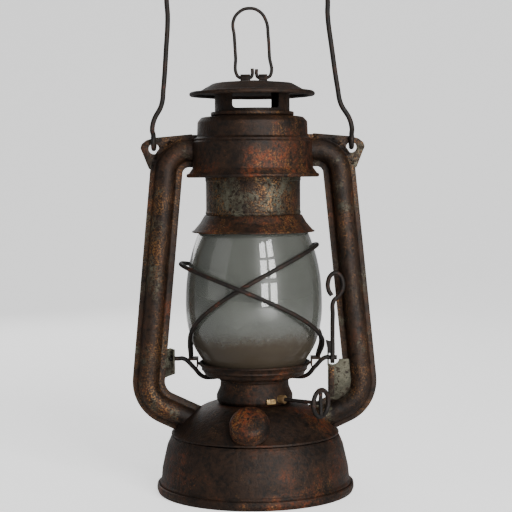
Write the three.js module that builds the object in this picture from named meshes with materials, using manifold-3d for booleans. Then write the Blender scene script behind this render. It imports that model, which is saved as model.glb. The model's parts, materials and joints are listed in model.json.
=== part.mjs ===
// A wick-fed tubular lantern: a fuel fount, a burner, a glass globe in a lift-up cage, a sliding
// chimney with its hood, and two side tubes that carry air from the drum down to the burner.
// Units are millimetres. +Z is up, -Y is the front, and the origin is the centre of the underside.
import * as THREE from 'three';
import { mergeVertices } from 'three/addons/utils/BufferGeometryUtils.js';
import Module from 'manifold-3d';

const wasm = await Module();
wasm.setup();

// ---------------------------------------------------------------- driving dimensions

// Stock and clearances
const SHEET = 0.8;                // pressed sheet steel
const GAP = 0.3;                  // between pieces that are soldered, crimped or seated together
const RUN = 0.5;                  // round a piece that turns or slides
const BAIL_WIRE = 3.0;
const GUARD_WIRE = 2.6;
const CRANK_WIRE = 2.7;
const LOOP_WIRE = 2.0;
const SPINDLE_WIRE = 2.3;
const SPRING_WIRE = 1.2;
const SPRING_TURNS = 4;

// Fount
const FOUNT_RADIUS = 58.6;        // skirt where it enters the rolled seam
const FOUNT_TAPER = 7.9;          // how much the skirt draws in up to its shoulder
const FOUNT_HEIGHT = 35.6;        // shoulder above the ground
const SEAM_PROUD = 1.5;
const SEAM_HEIGHT = 5.5;
const FOOT_WIDTH = 3.4;           // flat of the standing ring
const FLOOR_RAISE = 2.4;          // bottom plate above the ground
const DECK_DROP = 1.6;            // fount deck below the shoulder
const DOME_RISE = 18;
const DOME_EYE = 20;              // opening of the air dome under the cup

// Burner
const CUP_RADIUS = 20.7;
const CUP_BULGE = 2.5;
const CUP_HEIGHT = 15.7;
const CONE_HEIGHT = 23.4;
const SOCKET_RADIUS = 15;
const SOCKET_HEIGHT = 7.7;
const WICK_WIDTH = 15;
const WICK_THICK = 2.4;
const WICK_TAIL = 17;             // lower end of the wick above the ground
const WICK_SHOWING = 2.5;         // wick above its tube
const WICK_LIFT = 17.2;           // top of the wick above the rim of the cup
const TUBE_WALL = 0.6;            // wick tube wall
const SPROCKET_RADIUS = 3.5;
const SPINDLE_DROP = 11.3;        // spindle below the rim of the cup
const SPINDLE_ANGLE = 36;         // degrees from +X towards the front
const SPINDLE_REACH = 50;
const KNOB_DIAMETER = 18.5;
const LOCK_TAB_ANGLE = 24;        // degrees from the front towards +X

// Filler
const CAP_RADIUS = 12;
const CAP_TILT = 45;              // degrees from upright
const CAP_OFFSET = -3;            // sideways from the centre line
const CAP_SET_IN = 4.3;           // cap centre inside the shoulder
const CAP_SET_UP = 12.8;          // cap centre above the shoulder
const NECK_LENGTH = 18;

// Globe and its cage
const GLOBE_RADIUS = 41.4;
const GLOBE_HEIGHT = 93.4;
const GLOBE_FOOT = 29;
const GLOBE_TOP = 29.5;
const GLASS = 2.2;
const BELLY_SHARE = 0.46;         // height of the widest part of the globe
const GALLERY_RADIUS = 34;
const GALLERY_HEIGHT = 8.4;
const SEAT_LIFT = 2;              // globe seat above the foot of the gallery
const EAR_REACH = 38.6;           // guard wire ends from the centre line
const EAR_LIFT = 10.9;            // ears above the rim of the cup
const GUARD_RISES = [69.5, 58.5];
const GUARD_STANDOFF = 2.2;       // inner guard wire from the glass, centre to surface

// Chimney, hood and top loop
const FLARE_OVERHANG = 7.7;       // flare rim outside the top of the globe
const FLARE_LENGTH = 10;
const FLARE_LAP = 7.3;            // how far the flare reaches down round the glass
const CHIMNEY_LENGTH = 22.9;      // flare's upper edge to the chimney shoulder
const CHIMNEY_INSET = 0.6;        // chimney inside the top of the globe
const VENT_RADIUS = 22.6;         // vent neck that slides through the drum
const VENT_DROP = 2.6;            // vent neck's upper edge below the crown of the hood
const WINDOW_TURN = 7;            // degrees, windows turned from straight ahead
const WINDOW_SPAN = 76;           // degrees
const WINDOW_HEIGHT = 11;
const WINDOW_SILL = 1.7;          // above the drum collar
const HOOD_RADIUS = 38;
const HOOD_RISE = 7.8;
const HOOD_CLEAR = 10.6;          // hood rim above the drum collar
const LOOP_HALF_WIDTH = 10.2;
const LOOP_SHIFT = 1.1;           // middle of the loop to the right of the centre line
const LOOP_HEIGHT = 41.5;
const LOOP_LEAN = 2.2;

// Drum
const DRUM_OVER_CHIMNEY = 7.4;    // drum wall outside the chimney
const DRUM_FLARE = 3.9;
const DRUM_HEIGHT = 35.8;
const DRUM_STEP = 3.2;
const DRUM_CROWN = 10.2;          // narrower top of the drum, above the step
const DRUM_ABOVE_GLOBE = 26.4;    // drum rim above the top of the globe
const COLLAR_RADIUS = 25.1;
const COLLAR_HEIGHT = 2.2;

// Side tubes
const TUBE_RADIUS = 6.5;
const TUBE_LEAN = 5.53;           // degrees
const TUBE_TO_GUARD = 2.4;        // inner seam flange clear of the outer guard wire
const INNER_FLANGE = 3.6;
const OUTER_FLANGE = 3.0;
const TOP_BEND = 14;
const FOOT_BEND = 18;
const FOOT_SLOPE = 25;            // degrees below level, where a tube runs into the dome
const FOOT_IN = 7.7;              // tube centre meets the dome this far inside the shoulder
const TUBE_ENTRY = 3;             // how far a tube end stands inside drum and dome
const TUBE_DROP = 10.3;           // tube centre below the drum step
const EAR_HOLE_RADIUS = 3.2;
const EAR_HOLE_OUT = 8.3;         // bail hole outside and above the corner of the tube
const EAR_HOLE_UP = 1.3;

// Bail and lift
const HOOK_RADIUS = 4.6;
const BAIL_ARM = 85.9;            // hook centre to the start of the arch
const BAIL_RISE = 132;            // hook centre to the top of the arch
const BAIL_SKEW = -4;             // the arch leans to the left
const BAIL_DRAW_IN = 5.2;         // arms inside their hooks
const PIVOT_LIFT = 11.4;          // crank pivot above the rim of the cup
const CRANK_SWEEP = 28;           // crank wire round the back of the cup
const LEFT_EYE_IN = 15.1;         // crank eyes inside the centre lines of the tubes
const RIGHT_EYE_IN = 19;
const THUMB_WIDTH = 11;
const THUMB_HEIGHT = 14.6;
const LEVER_HEIGHT = 53.7;        // crank pivot to the top of the thumb loop
const EYE_WIDTH = 2.4;            // lever eye along the crank

// Facets
const ROUND = 24;
const SMALL_ROUND = 16;
const WIRE_SIDES = 6;

// ---------------------------------------------------------------- levels and radii that follow

const SHOULDER = FOUNT_RADIUS - FOUNT_TAPER;
const DOME_TOP_Z = FOUNT_HEIGHT + DOME_RISE;
const CUP_TOP_Z = DOME_TOP_Z + CUP_HEIGHT;
const GALLERY_Z = CUP_TOP_Z + GAP;
const SEAT_Z = GALLERY_Z + SEAT_LIFT;
const GLOBE_Z = SEAT_Z + GAP;
const GLOBE_TOP_Z = GLOBE_Z + GLOBE_HEIGHT;
const BELLY_Z = GLOBE_Z + GLOBE_HEIGHT * BELLY_SHARE;
const CHIMNEY_RADIUS = GLOBE_TOP - CHIMNEY_INSET;
const FLARE_Z = GLOBE_TOP_Z - FLARE_LAP;
const CHIMNEY_Z = FLARE_Z + FLARE_LENGTH;
const CHIMNEY_TOP_Z = CHIMNEY_Z + CHIMNEY_LENGTH;
const DRUM_Z = GLOBE_TOP_Z + DRUM_ABOVE_GLOBE;
const DRUM_TOP_Z = DRUM_Z + DRUM_HEIGHT;
const DRUM_RADIUS = CHIMNEY_RADIUS + DRUM_OVER_CHIMNEY;
const DRUM_STEP_Z = DRUM_TOP_Z - DRUM_CROWN;
const COLLAR_Z = DRUM_TOP_Z + GAP;
const COLLAR_TOP_Z = COLLAR_Z + COLLAR_HEIGHT;
const HOOD_Z = COLLAR_TOP_Z + HOOD_CLEAR;
const HOOD_TOP_Z = HOOD_Z + HOOD_RISE;
const LUG_RADIUS = LOOP_WIRE / 2 + RUN + SHEET * 0.6;
const LOOP_Z = HOOD_TOP_Z + LUG_RADIUS + GAP;
const TUBE_Z = DRUM_STEP_Z - TUBE_DROP;
const GUARD_PASS = GUARD_WIRE + GAP;
const GUARD_EDGE = GLOBE_RADIUS + GUARD_STANDOFF + GUARD_PASS + GUARD_WIRE / 2;
const TUBE_AT_BELLY = GUARD_EDGE + TUBE_TO_GUARD + INNER_FLANGE + TUBE_RADIUS;
const PIVOT_Z = CUP_TOP_Z + PIVOT_LIFT;
const SPINDLE_Z = CUP_TOP_Z - SPINDLE_DROP;
const WICK_TOP_Z = CUP_TOP_Z + WICK_LIFT;
const WICK_TUBE_TOP_Z = WICK_TOP_Z - WICK_SHOWING;
const SPINDLE_OFFSET = WICK_THICK / 2 + SPROCKET_RADIUS + GAP / 2;

const rad = THREE.MathUtils.degToRad;
const point = (x, y, z) => new THREE.Vector3(x, y, z);

// ---------------------------------------------------------------- solids

// A closed manifold solid of a closed geometry, with its shared vertices merged.
function solid(geometry) {
  const bare = geometry.clone();
  bare.deleteAttribute('normal');
  bare.deleteAttribute('uv');
  const merged = mergeVertices(bare, 1e-4);
  const index = merged.index.array;
  const faces = [];
  for (let i = 0; i < index.length; i += 3) {
    const [a, b, c] = [index[i], index[i + 1], index[i + 2]];
    if (a !== b && b !== c && c !== a) faces.push(a, b, c);
  }
  const vertProperties = new Float32Array(merged.attributes.position.array);
  const triVerts = new Uint32Array(faces);
  return new wasm.Manifold(new wasm.Mesh({ numProp: 3, vertProperties, triVerts }));
}

function geometryOf(body) {
  const mesh = body.getMesh();
  const geometry = new THREE.BufferGeometry();
  geometry.setAttribute('position', new THREE.BufferAttribute(mesh.vertProperties, 3));
  geometry.setIndex(new THREE.BufferAttribute(mesh.triVerts, 1));
  geometry.computeVertexNormals();
  return geometry;
}

const cut = (body, ...tools) => tools.reduce((rest, tool) => rest.subtract(tool), body);
const join = (first, ...others) => others.reduce((whole, other) => whole.add(other), first);

// Turns a closed outline of [radius, height] points about Z.
function spun(outline, segments = ROUND) {
  let area = 0;
  for (let i = 0; i < outline.length; i += 1) {
    const [r0, z0] = outline[i];
    const [r1, z1] = outline[(i + 1) % outline.length];
    area += r0 * z1 - r1 * z0;
  }
  const ring = area > 0 ? [...outline] : [...outline].reverse();
  const onAxis = ring.findIndex(([r], i) => r === 0 && ring[(i + 1) % ring.length][0] !== 0);
  const start = Math.max(onAxis, 0);
  const path = [...ring.slice(start), ...ring.slice(0, start)];
  if (onAxis < 0) path.push(path[0]);
  const points = path.map(([r, z]) => new THREE.Vector2(r, z));
  return new THREE.LatheGeometry(points, segments).rotateX(Math.PI / 2);
}

// Moves an outline to its left by a distance, mitred at its corners.
function offset(outline, distance) {
  return outline.map(([r, z], i) => {
    const before = outline[Math.max(i - 1, 0)];
    const after = outline[Math.min(i + 1, outline.length - 1)];
    const into = new THREE.Vector2(r - before[0], z - before[1]).normalize();
    const out = new THREE.Vector2(after[0] - r, after[1] - z).normalize();
    if (i === 0) into.copy(out);
    if (i === outline.length - 1) out.copy(into);
    const left = new THREE.Vector2(-into.y - out.y, into.x + out.x).normalize();
    const mitre = distance / Math.max(left.dot(new THREE.Vector2(-into.y, into.x)), 0.5);
    return [Math.max(r + left.x * mitre, 0), z + left.y * mitre];
  });
}

// Sheet metal turned about Z: the outline is its outer face, and the wall lies to its left.
function shell(outline, wall = SHEET, segments = ROUND) {
  return spun([...outline, ...offset(outline, wall).reverse()], segments);
}

const ring = (inner, outer, low, high, segments = ROUND) =>
  spun([[inner, low], [outer, low], [outer, high], [inner, high]], segments);

const disc = (radius, low, high, segments = ROUND) =>
  spun([[0, low], [radius, low], [radius, high], [0, high]], segments);

// A round bar along a smooth line through points.
function bar(points, radius, steps, sides = WIRE_SIDES) {
  const section = new THREE.Shape();
  for (let i = 0; i < sides; i += 1) {
    const turn = (i * 2 * Math.PI) / sides;
    const [x, y] = [radius * Math.cos(turn), radius * Math.sin(turn)];
    if (i === 0) section.moveTo(x, y);
    else section.lineTo(x, y);
  }
  const extrudePath = new THREE.CatmullRomCurve3(points);
  return new THREE.ExtrudeGeometry(section, { steps, extrudePath, bevelEnabled: false });
}

// A flat plate in the X-Z plane, from y = near to y = far.
function plate(corners, near, far) {
  const shape = new THREE.Shape(corners.map(([x, z]) => new THREE.Vector2(x, z)));
  const [low, high] = [Math.min(near, far), Math.max(near, far)];
  const geometry = new THREE.ExtrudeGeometry(shape, { depth: high - low, bevelEnabled: false });
  return geometry.rotateX(Math.PI / 2).translate(0, high, 0);
}

const block = (x, y, z, at) => new THREE.BoxGeometry(x, y, z).translate(at.x, at.y, at.z);

// A rod between two points.
function rod(from, to, radius, sides = SMALL_ROUND) {
  const along = to.clone().sub(from);
  const turn = new THREE.Quaternion().setFromUnitVectors(point(0, 1, 0), along.clone().normalize());
  const geometry = new THREE.CylinderGeometry(radius, radius, along.length(), sides);
  geometry.applyQuaternion(turn);
  return geometry.translate(...from.clone().add(to).multiplyScalar(0.5).toArray());
}

// ---------------------------------------------------------------- the assembly

const lantern = new THREE.Group();
lantern.name = 'tubular_lantern';

const FINISHES = {
  rust: [0x4a2c1c, 0.85, 0.35],
  tube: [0x6a4a30, 0.7, 0.45],
  galvanised: [0x77786a, 0.5, 0.75],
  wire: [0x241a15, 0.75, 0.6],
  brass: [0x9a7838, 0.45, 0.9],
  glass: [0xc9c7bb, 0.35, 0.0],
  wick: [0xcdbf9e, 0.95, 0.0],
  cork: [0x5d4026, 0.9, 0.0],
};

function add(name, shape, finish) {
  const [color, roughness, metalness] = FINISHES[finish];
  const geometry = shape.isBufferGeometry ? shape : geometryOf(shape);
  const mesh = new THREE.Mesh(geometry, new THREE.MeshStandardMaterial({ color, roughness, metalness }));
  mesh.name = name;
  lantern.add(mesh);
  return mesh;
}

// ---------------------------------------------------------------- fount and air dome

const seamEdge = FOUNT_RADIUS + SEAM_PROUD;
const floorTop = FLOOR_RAISE + SHEET;
const skirtTop = FOUNT_HEIGHT - SHEET - GAP;
const skirtRise = skirtTop - floorTop - GAP;
const skirtOutline = [0, 0.12, 0.34, 0.56, 0.84, 1].map((t) => [
  FOUNT_RADIUS - GAP - (FOUNT_TAPER - GAP) * t ** 1.05,
  floorTop + GAP + skirtRise * t,
]);

// The dome rises from the shoulder to the foot of the cup along a quarter wave.
const domeEdge = CUP_RADIUS + CUP_BULGE + 0.6;
function domeHeight(radius) {
  const t = (SHOULDER - radius) / (SHOULDER - domeEdge);
  return FOUNT_HEIGHT + DOME_RISE * Math.sin((Math.min(t, 1) * Math.PI) / 2);
}
const domeOutline = [0, 0.2, 0.4, 0.6, 0.8, 1].map((t) => {
  const radius = SHOULDER + (domeEdge - SHOULDER) * t;
  return [radius, domeHeight(radius)];
});

// Everything that the fount fills, a gap larger, for trimming what runs up to it.
const fountSpace = solid(spun([
  [0, -1], [seamEdge + GAP, -1], [seamEdge + GAP, SEAM_HEIGHT + GAP],
  ...offset([...skirtOutline.slice(1), ...domeOutline], -GAP), [0, DOME_TOP_Z + GAP],
]));

// ---------------------------------------------------------------- side tube centre line

const lean = Math.tan(rad(TUBE_LEAN));
const tubeX = (z) => TUBE_AT_BELLY + (BELLY_Z - z) * lean;
const footRadius = SHOULDER - FOOT_IN;
const footZ = domeHeight(footRadius) + 1.5;
const footRun = Math.tan(rad(FOOT_SLOPE));
const footCornerZ = (footZ + (tubeX(0) - footRadius) * footRun) / (1 + lean * footRun);
const topCorner = new THREE.Vector2(tubeX(TUBE_Z), TUBE_Z);
const footCorner = new THREE.Vector2(tubeX(footCornerZ), footCornerZ);
const drumEnd = new THREE.Vector2(DRUM_RADIUS - TUBE_ENTRY, TUBE_Z);
const footEnd = new THREE.Vector2(footRadius - TUBE_ENTRY, footZ - TUBE_ENTRY * footRun);

// Points round a corner of a centre line, along an arc that is tangent to both legs.
function bend(before, corner, after, radius, count) {
  const into = before.clone().sub(corner).normalize();
  const out = after.clone().sub(corner).normalize();
  const half = Math.acos(into.dot(out)) / 2;
  const middle = into.clone().add(out).normalize();
  const centre = corner.clone().addScaledVector(middle, radius / Math.sin(half));
  const start = corner.clone().addScaledVector(into, radius / Math.tan(half)).sub(centre);
  const end = corner.clone().addScaledVector(out, radius / Math.tan(half)).sub(centre);
  const sweep = Math.PI - 2 * half;
  const sign = Math.sign(start.x * end.y - start.y * end.x);
  return Array.from({ length: count + 1 }, (_, i) =>
    start.clone().rotateAround(new THREE.Vector2(), (sign * sweep * i) / count).add(centre));
}

const topArc = bend(drumEnd, topCorner, footCorner, TOP_BEND, 6);
const footArc = bend(topCorner, footCorner, footEnd, FOOT_BEND, 6);

function straightPoints(from, to, count) {
  return Array.from({ length: count }, (_, i) => from.clone().lerp(to, (i + 1) / (count + 1)));
}

function tubeLine(overrun) {
  const start = drumEnd.clone().sub(new THREE.Vector2(overrun, 0));
  const tail = footEnd.clone().sub(footArc.at(-1)).normalize();
  const end = footEnd.clone().addScaledVector(tail, overrun);
  return [start, ...topArc, ...straightPoints(topArc.at(-1), footArc[0], 6), ...footArc, end];
}

const tubeSolid = (side, radius, overrun) =>
  solid(bar(tubeLine(overrun).map((p) => point(side * p.x, 0, p.y)), radius, 26, 8));

const fountTubeSpaces = [-1, 1].map((side) => tubeSolid(side, TUBE_RADIUS + GAP, 1));

// ---------------------------------------------------------------- fount pieces

add('fount_bottom', spun([
  [0, FLOOR_RAISE], [seamEdge - FOOT_WIDTH - 1.7, FLOOR_RAISE], [seamEdge - FOOT_WIDTH - 0.5, 0],
  [seamEdge - 0.5, 0], [seamEdge, 1], [seamEdge, SEAM_HEIGHT - 0.7],
  [seamEdge - 0.6, SEAM_HEIGHT], [FOUNT_RADIUS + 0.1, SEAM_HEIGHT],
  [FOUNT_RADIUS + 0.1, floorTop], [0, floorTop],
]), 'rust');
add('fount_shell', shell(skirtOutline), 'rust');

const capTurn = rad(CAP_TILT);
const capAt = point(CAP_OFFSET, -(SHOULDER - CAP_SET_IN), FOUNT_HEIGHT + CAP_SET_UP);
const tilted = (geometry) => geometry.rotateX(capTurn).translate(...capAt.toArray());
const neckRadius = CAP_RADIUS - SHEET - RUN - GAP;
const neckSpace = solid(tilted(disc(neckRadius + GAP, -NECK_LENGTH - 4, 6, SMALL_ROUND)));

const deckTop = FOUNT_HEIGHT - DECK_DROP;
const deckEye = SOCKET_RADIUS - 3;
add('fount_deck', cut(
  solid(ring(deckEye, SHOULDER - SHEET - 2 * GAP, deckTop - SHEET, deckTop)),
  neckSpace,
), 'rust');
add('air_dome', cut(
  solid(shell([...domeOutline, [DOME_EYE, DOME_TOP_Z]])),
  neckSpace,
  ...fountTubeSpaces,
), 'rust');

add('filler_neck', tilted(shell([
  [neckRadius, -NECK_LENGTH], [neckRadius, -0.4], [neckRadius - 0.4, 0],
], SHEET, SMALL_ROUND)), 'rust');
add('filler_cap', tilted(shell([
  [CAP_RADIUS - 0.6, -4], [CAP_RADIUS, -3.6], [CAP_RADIUS - 0.3, -2.4], [CAP_RADIUS, -1.2],
  [CAP_RADIUS - 0.2, 1], [CAP_RADIUS - 1.6, 2.4], [CAP_RADIUS * 0.5, 3.4], [0, 3.7],
], SHEET, SMALL_ROUND)), 'rust');
add('filler_gasket', tilted(
  ring(neckRadius - 2.4, neckRadius - 0.3, GAP, GAP + 0.8, SMALL_ROUND),
), 'cork');

// ---------------------------------------------------------------- burner

const spindleLine = point(Math.cos(rad(SPINDLE_ANGLE)), -Math.sin(rad(SPINDLE_ANGLE)), 0);
const spindleSide = point(spindleLine.y, -spindleLine.x, 0);

// A place given along the spindle, to the side of the wick that the spindle is on, and in height.
const burnerPoint = (along, aside, z) =>
  point(0, 0, z).addScaledVector(spindleLine, along).addScaledVector(spindleSide, aside);

// A block square to the wick.
function burnerBlock(length, width, low, high, aside = 0) {
  const geometry = new THREE.BoxGeometry(length, width, high - low);
  geometry.rotateZ(-rad(SPINDLE_ANGLE));
  return geometry.translate(...burnerPoint(0, aside, (low + high) / 2).toArray());
}

const spindleRadius = SPINDLE_WIRE / 2;
const spindleRod = (from, to, radius) => rod(
  burnerPoint(from, SPINDLE_OFFSET, SPINDLE_Z),
  burnerPoint(to, SPINDLE_OFFSET, SPINDLE_Z),
  radius,
  12,
);
const wickTubeLength = WICK_WIDTH + 2 * (RUN + TUBE_WALL);
const wickTubeWidth = WICK_THICK + 2 * (RUN + TUBE_WALL);
const wheelSpace = SPROCKET_RADIUS + RUN;
const wheelPlaces = [-WICK_WIDTH * 0.3, WICK_WIDTH * 0.3];

const socketLow = deckTop + GAP;
const socketTop = socketLow + SOCKET_HEIGHT;
add('burner_socket', ring(deckEye, SOCKET_RADIUS, socketLow, socketTop, SMALL_ROUND), 'brass');

const coneRadius = CUP_RADIUS - SHEET - RUN;
const baseTop = CUP_TOP_Z - GAP;
const wheelChest = burnerBlock(
  WICK_WIDTH * 0.6 + 5,
  wheelSpace * 2 + 1,
  SPINDLE_Z - wheelSpace,
  SPINDLE_Z + wheelSpace,
  SPINDLE_OFFSET - 0.2,
);
add('burner_base', cut(
  solid(spun([
    [0, deckTop + 1], [deckEye - GAP, deckTop + 1], [deckEye - GAP, socketTop + GAP],
    [SOCKET_RADIUS, socketTop + GAP], [SOCKET_RADIUS, socketTop + 3], [12.5, socketTop + 4.5],
    [12.5, baseTop - 5], [coneRadius, baseTop - 1], [coneRadius, baseTop], [0, baseTop],
  ], SMALL_ROUND)),
  solid(burnerBlock(wickTubeLength + 2 * GAP, wickTubeWidth + 2 * GAP, 0, CUP_TOP_Z + 5)),
  solid(wheelChest),
  solid(spindleRod(-20, 30, spindleRadius + RUN)),
), 'brass');
add('wick_tube', cut(
  solid(burnerBlock(wickTubeLength, wickTubeWidth, deckTop + 1, WICK_TUBE_TOP_Z)),
  solid(burnerBlock(WICK_WIDTH + 2 * RUN, WICK_THICK + 2 * RUN, 0, WICK_TOP_Z + 9)),
  ...wheelPlaces.map((place) => {
    const window = new THREE.BoxGeometry(3, wickTubeWidth, 2 * wheelSpace + 1);
    window.rotateZ(-rad(SPINDLE_ANGLE));
    const at = burnerPoint(place, wickTubeWidth / 2 + WICK_THICK / 2, SPINDLE_Z);
    return solid(window.translate(...at.toArray()));
  }),
), 'brass');
add('wick', burnerBlock(WICK_WIDTH, WICK_THICK, WICK_TAIL, WICK_TOP_Z), 'wick');

const coneZ = CUP_TOP_Z;
const coneWall = coneZ + CONE_HEIGHT * 0.6;
add('burner_cone', cut(
  solid(shell([
    [coneRadius, coneZ + GAP], [coneRadius, coneWall], [coneRadius * 0.93, coneWall + 3.2],
    [coneRadius * 0.7, coneWall + 6.6], [coneRadius * 0.35, coneWall + 8.7], [0, coneZ + CONE_HEIGHT],
  ], SHEET, SMALL_ROUND)),
  solid(burnerBlock(WICK_WIDTH + 4, WICK_THICK + 2.4, coneWall + 3, coneZ + CONE_HEIGHT + 5)),
), 'brass');

const cupWall = CUP_RADIUS + CUP_BULGE;
add('burner_cup', cut(
  solid(shell([
    [CUP_RADIUS, DOME_TOP_Z + GAP], [cupWall, DOME_TOP_Z + 2], [cupWall, DOME_TOP_Z + 5],
    [CUP_RADIUS + 0.8, CUP_TOP_Z - 6.3], [CUP_RADIUS, CUP_TOP_Z],
  ])),
  solid(spindleRod(10, 34, spindleRadius + RUN + SHEET + GAP)),
), 'rust');
add('spindle_bush', cut(
  solid(spindleRod(cupWall - 3, cupWall + 2.4, spindleRadius + RUN + SHEET)),
  solid(spindleRod(10, 34, spindleRadius + RUN)),
), 'brass');

const tabTurn = rad(LOCK_TAB_ANGLE);
const lockTab = new THREE.BoxGeometry(5.9, 0.8, 3);
lockTab.translate(0, -(cupWall + GAP + 0.6), DOME_TOP_Z + 3.5).rotateZ(tabTurn);
add('burner_lock_tab', lockTab, 'brass');

add('wick_spindle', spindleRod(-WICK_WIDTH / 2 - 2, SPINDLE_REACH, spindleRadius), 'wire');

// A toothed wheel that bites into the wick.
function sprocket(place) {
  const teeth = 8;
  const outline = new THREE.Shape();
  for (let i = 0; i < teeth * 2; i += 1) {
    const turn = (i * Math.PI) / teeth;
    const reach = i % 2 === 0 ? SPROCKET_RADIUS : SPROCKET_RADIUS * 0.72;
    const [x, y] = [reach * Math.cos(turn), reach * Math.sin(turn)];
    if (i === 0) outline.moveTo(x, y);
    else outline.lineTo(x, y);
  }
  outline.holes.push(new THREE.Path().absarc(0, 0, spindleRadius + 0.15, 0, Math.PI * 2, true));
  const thick = 1.2;
  const geometry = new THREE.ExtrudeGeometry(outline, {
    depth: thick, bevelEnabled: false, curveSegments: 6,
  });
  const turn = new THREE.Quaternion().setFromUnitVectors(point(0, 0, 1), spindleLine);
  geometry.translate(0, 0, -thick / 2).applyQuaternion(turn);
  return geometry.translate(...burnerPoint(place, SPINDLE_OFFSET, SPINDLE_Z).toArray());
}
wheelPlaces.forEach((place, i) => add(`wick_sprocket_${i + 1}`, sprocket(place), 'brass'));

const knobWire = CRANK_WIRE / 2;
const knobRing = KNOB_DIAMETER / 2 - knobWire;
const spokeRadius = spindleRadius;
const knobAt = burnerPoint(SPINDLE_REACH + GAP + spokeRadius, SPINDLE_OFFSET, SPINDLE_Z);
const knobTorus = new THREE.TorusGeometry(knobRing, knobWire, 6, 18);
knobTorus.applyQuaternion(new THREE.Quaternion().setFromUnitVectors(point(0, 0, 1), spindleLine));
knobTorus.translate(...knobAt.toArray());
const spokeEnd = point(0, 0, knobRing);
add('wick_knob', join(
  solid(knobTorus),
  solid(rod(knobAt.clone().sub(spokeEnd), knobAt.clone().add(spokeEnd), spokeRadius, 8)),
), 'wire');

// ---------------------------------------------------------------- globe and its cage

const galleryFoot = GLOBE_FOOT + 1;
add('gallery_plate', shell([
  [coneRadius + RUN + GAP, GALLERY_Z], [galleryFoot - 5.5, GALLERY_Z], [galleryFoot - 4.5, SEAT_Z - SHEET],
  [galleryFoot, SEAT_Z - SHEET], [galleryFoot + 1, SEAT_Z + 0.6],
  [GALLERY_RADIUS - 0.6, GALLERY_Z + GALLERY_HEIGHT - 1], [GALLERY_RADIUS, GALLERY_Z + GALLERY_HEIGHT],
], SHEET), 'rust');

// Outer radius of the glass against its height, as shares of the foot, belly and top.
const glassLine = new THREE.SplineCurve([
  [GLOBE_FOOT, 0], [GLOBE_FOOT + (GLOBE_RADIUS - GLOBE_FOOT) * 0.1, 0.06],
  [GLOBE_FOOT + (GLOBE_RADIUS - GLOBE_FOOT) * 0.66, 0.19],
  [GLOBE_FOOT + (GLOBE_RADIUS - GLOBE_FOOT) * 0.94, 0.33], [GLOBE_RADIUS, BELLY_SHARE],
  [GLOBE_TOP + (GLOBE_RADIUS - GLOBE_TOP) * 0.93, 0.62],
  [GLOBE_TOP + (GLOBE_RADIUS - GLOBE_TOP) * 0.7, 0.77],
  [GLOBE_TOP + (GLOBE_RADIUS - GLOBE_TOP) * 0.35, 0.9],
  [GLOBE_TOP, 1],
].map(([r, t]) => new THREE.Vector2(r, GLOBE_Z + GLOBE_HEIGHT * t)));
const glassPoints = glassLine.getPoints(9);
add('globe', shell(glassPoints.map((p) => [p.x, p.y]), GLASS), 'glass');

function glassRadius(z) {
  const above = glassPoints.findIndex((p) => p.y > z);
  if (above < 1) return GLOBE_TOP;
  const [low, high] = [glassPoints[above - 1], glassPoints[above]];
  return low.x + ((high.x - low.x) * (z - low.y)) / (high.y - low.y);
}

// Each guard wire leaves a gallery ear, climbs round the glass to the far side and comes back.
const earZ = CUP_TOP_Z + EAR_LIFT;
const earThick = 1.2;
const endSpread = GUARD_WIRE + 0.6;
function guardLine(side, rise, standoff) {
  const steps = 22;
  const climb = [];
  for (let i = 1; i < steps; i += 1) {
    const turn = (i / steps) * 2 * Math.PI;
    const z = earZ + 3 + (rise - 3) * Math.sin(turn / 2);
    const reach = Math.max(EAR_REACH, glassRadius(z) + standoff);
    climb.push(point(side * reach * Math.cos(turn), -side * reach * Math.sin(turn), z));
  }
  const end = (way) => [earThick + 2 * GAP, earThick + 1.6].map(
    (up) => point(side * EAR_REACH, way * side * endSpread, earZ + up),
  );
  return [...end(-1), ...climb, ...end(1).reverse()];
}
const guardStandoffs = [GUARD_STANDOFF, GUARD_STANDOFF + GUARD_PASS];
['a', 'b'].forEach((letter, i) => {
  const side = i === 0 ? -1 : 1;
  const line = guardLine(side, GUARD_RISES[i], guardStandoffs[i]);
  add(`guard_wire_${letter}`, bar(line, GUARD_WIRE / 2, 44), 'wire');
});

[-1, 1].forEach((side) => {
  const inner = GALLERY_RADIUS + GAP;
  const outer = EAR_REACH + GUARD_WIRE / 2 + GAP - 0.1;
  const width = 2 * (endSpread + GUARD_WIRE / 2 + 1);
  const shelfAt = point((side * (inner + outer)) / 2, 0, earZ + earThick / 2);
  const shelf = block(outer - inner, width, earThick, shelfAt);
  const drop = earZ + earThick - (GALLERY_Z + GALLERY_HEIGHT - 2.2);
  const rootAt = point(side * (inner + SHEET / 2), 0, earZ + earThick - drop / 2);
  const root = block(SHEET, width, drop, rootAt);
  const holes = [-1, 1].map((way) => solid(rod(
    point(side * EAR_REACH, way * endSpread, earZ - 2),
    point(side * EAR_REACH, way * endSpread, earZ + 4),
    GUARD_WIRE / 2 + GAP,
    10,
  )));
  const name = side < 0 ? 'gallery_ear_left' : 'gallery_ear_right';
  add(name, cut(join(solid(shelf), solid(root)), ...holes), 'rust');
});

// ---------------------------------------------------------------- chimney, hood and top loop

add('chimney_flare', shell([
  [GLOBE_TOP + FLARE_OVERHANG, FLARE_Z], [GLOBE_TOP + 6.4, FLARE_Z + 0.8],
  [GLOBE_TOP + 2.6, FLARE_Z + 6], [CHIMNEY_RADIUS + 0.5, CHIMNEY_Z],
], SHEET * 0.75), 'rust');
add('chimney_cylinder', shell([
  [CHIMNEY_RADIUS, CHIMNEY_Z + GAP], [CHIMNEY_RADIUS, CHIMNEY_TOP_Z - 1.2],
  [CHIMNEY_RADIUS - 1.2, CHIMNEY_TOP_Z], [VENT_RADIUS + 0.4, CHIMNEY_TOP_Z],
], SHEET * 0.75), 'galvanised');

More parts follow.
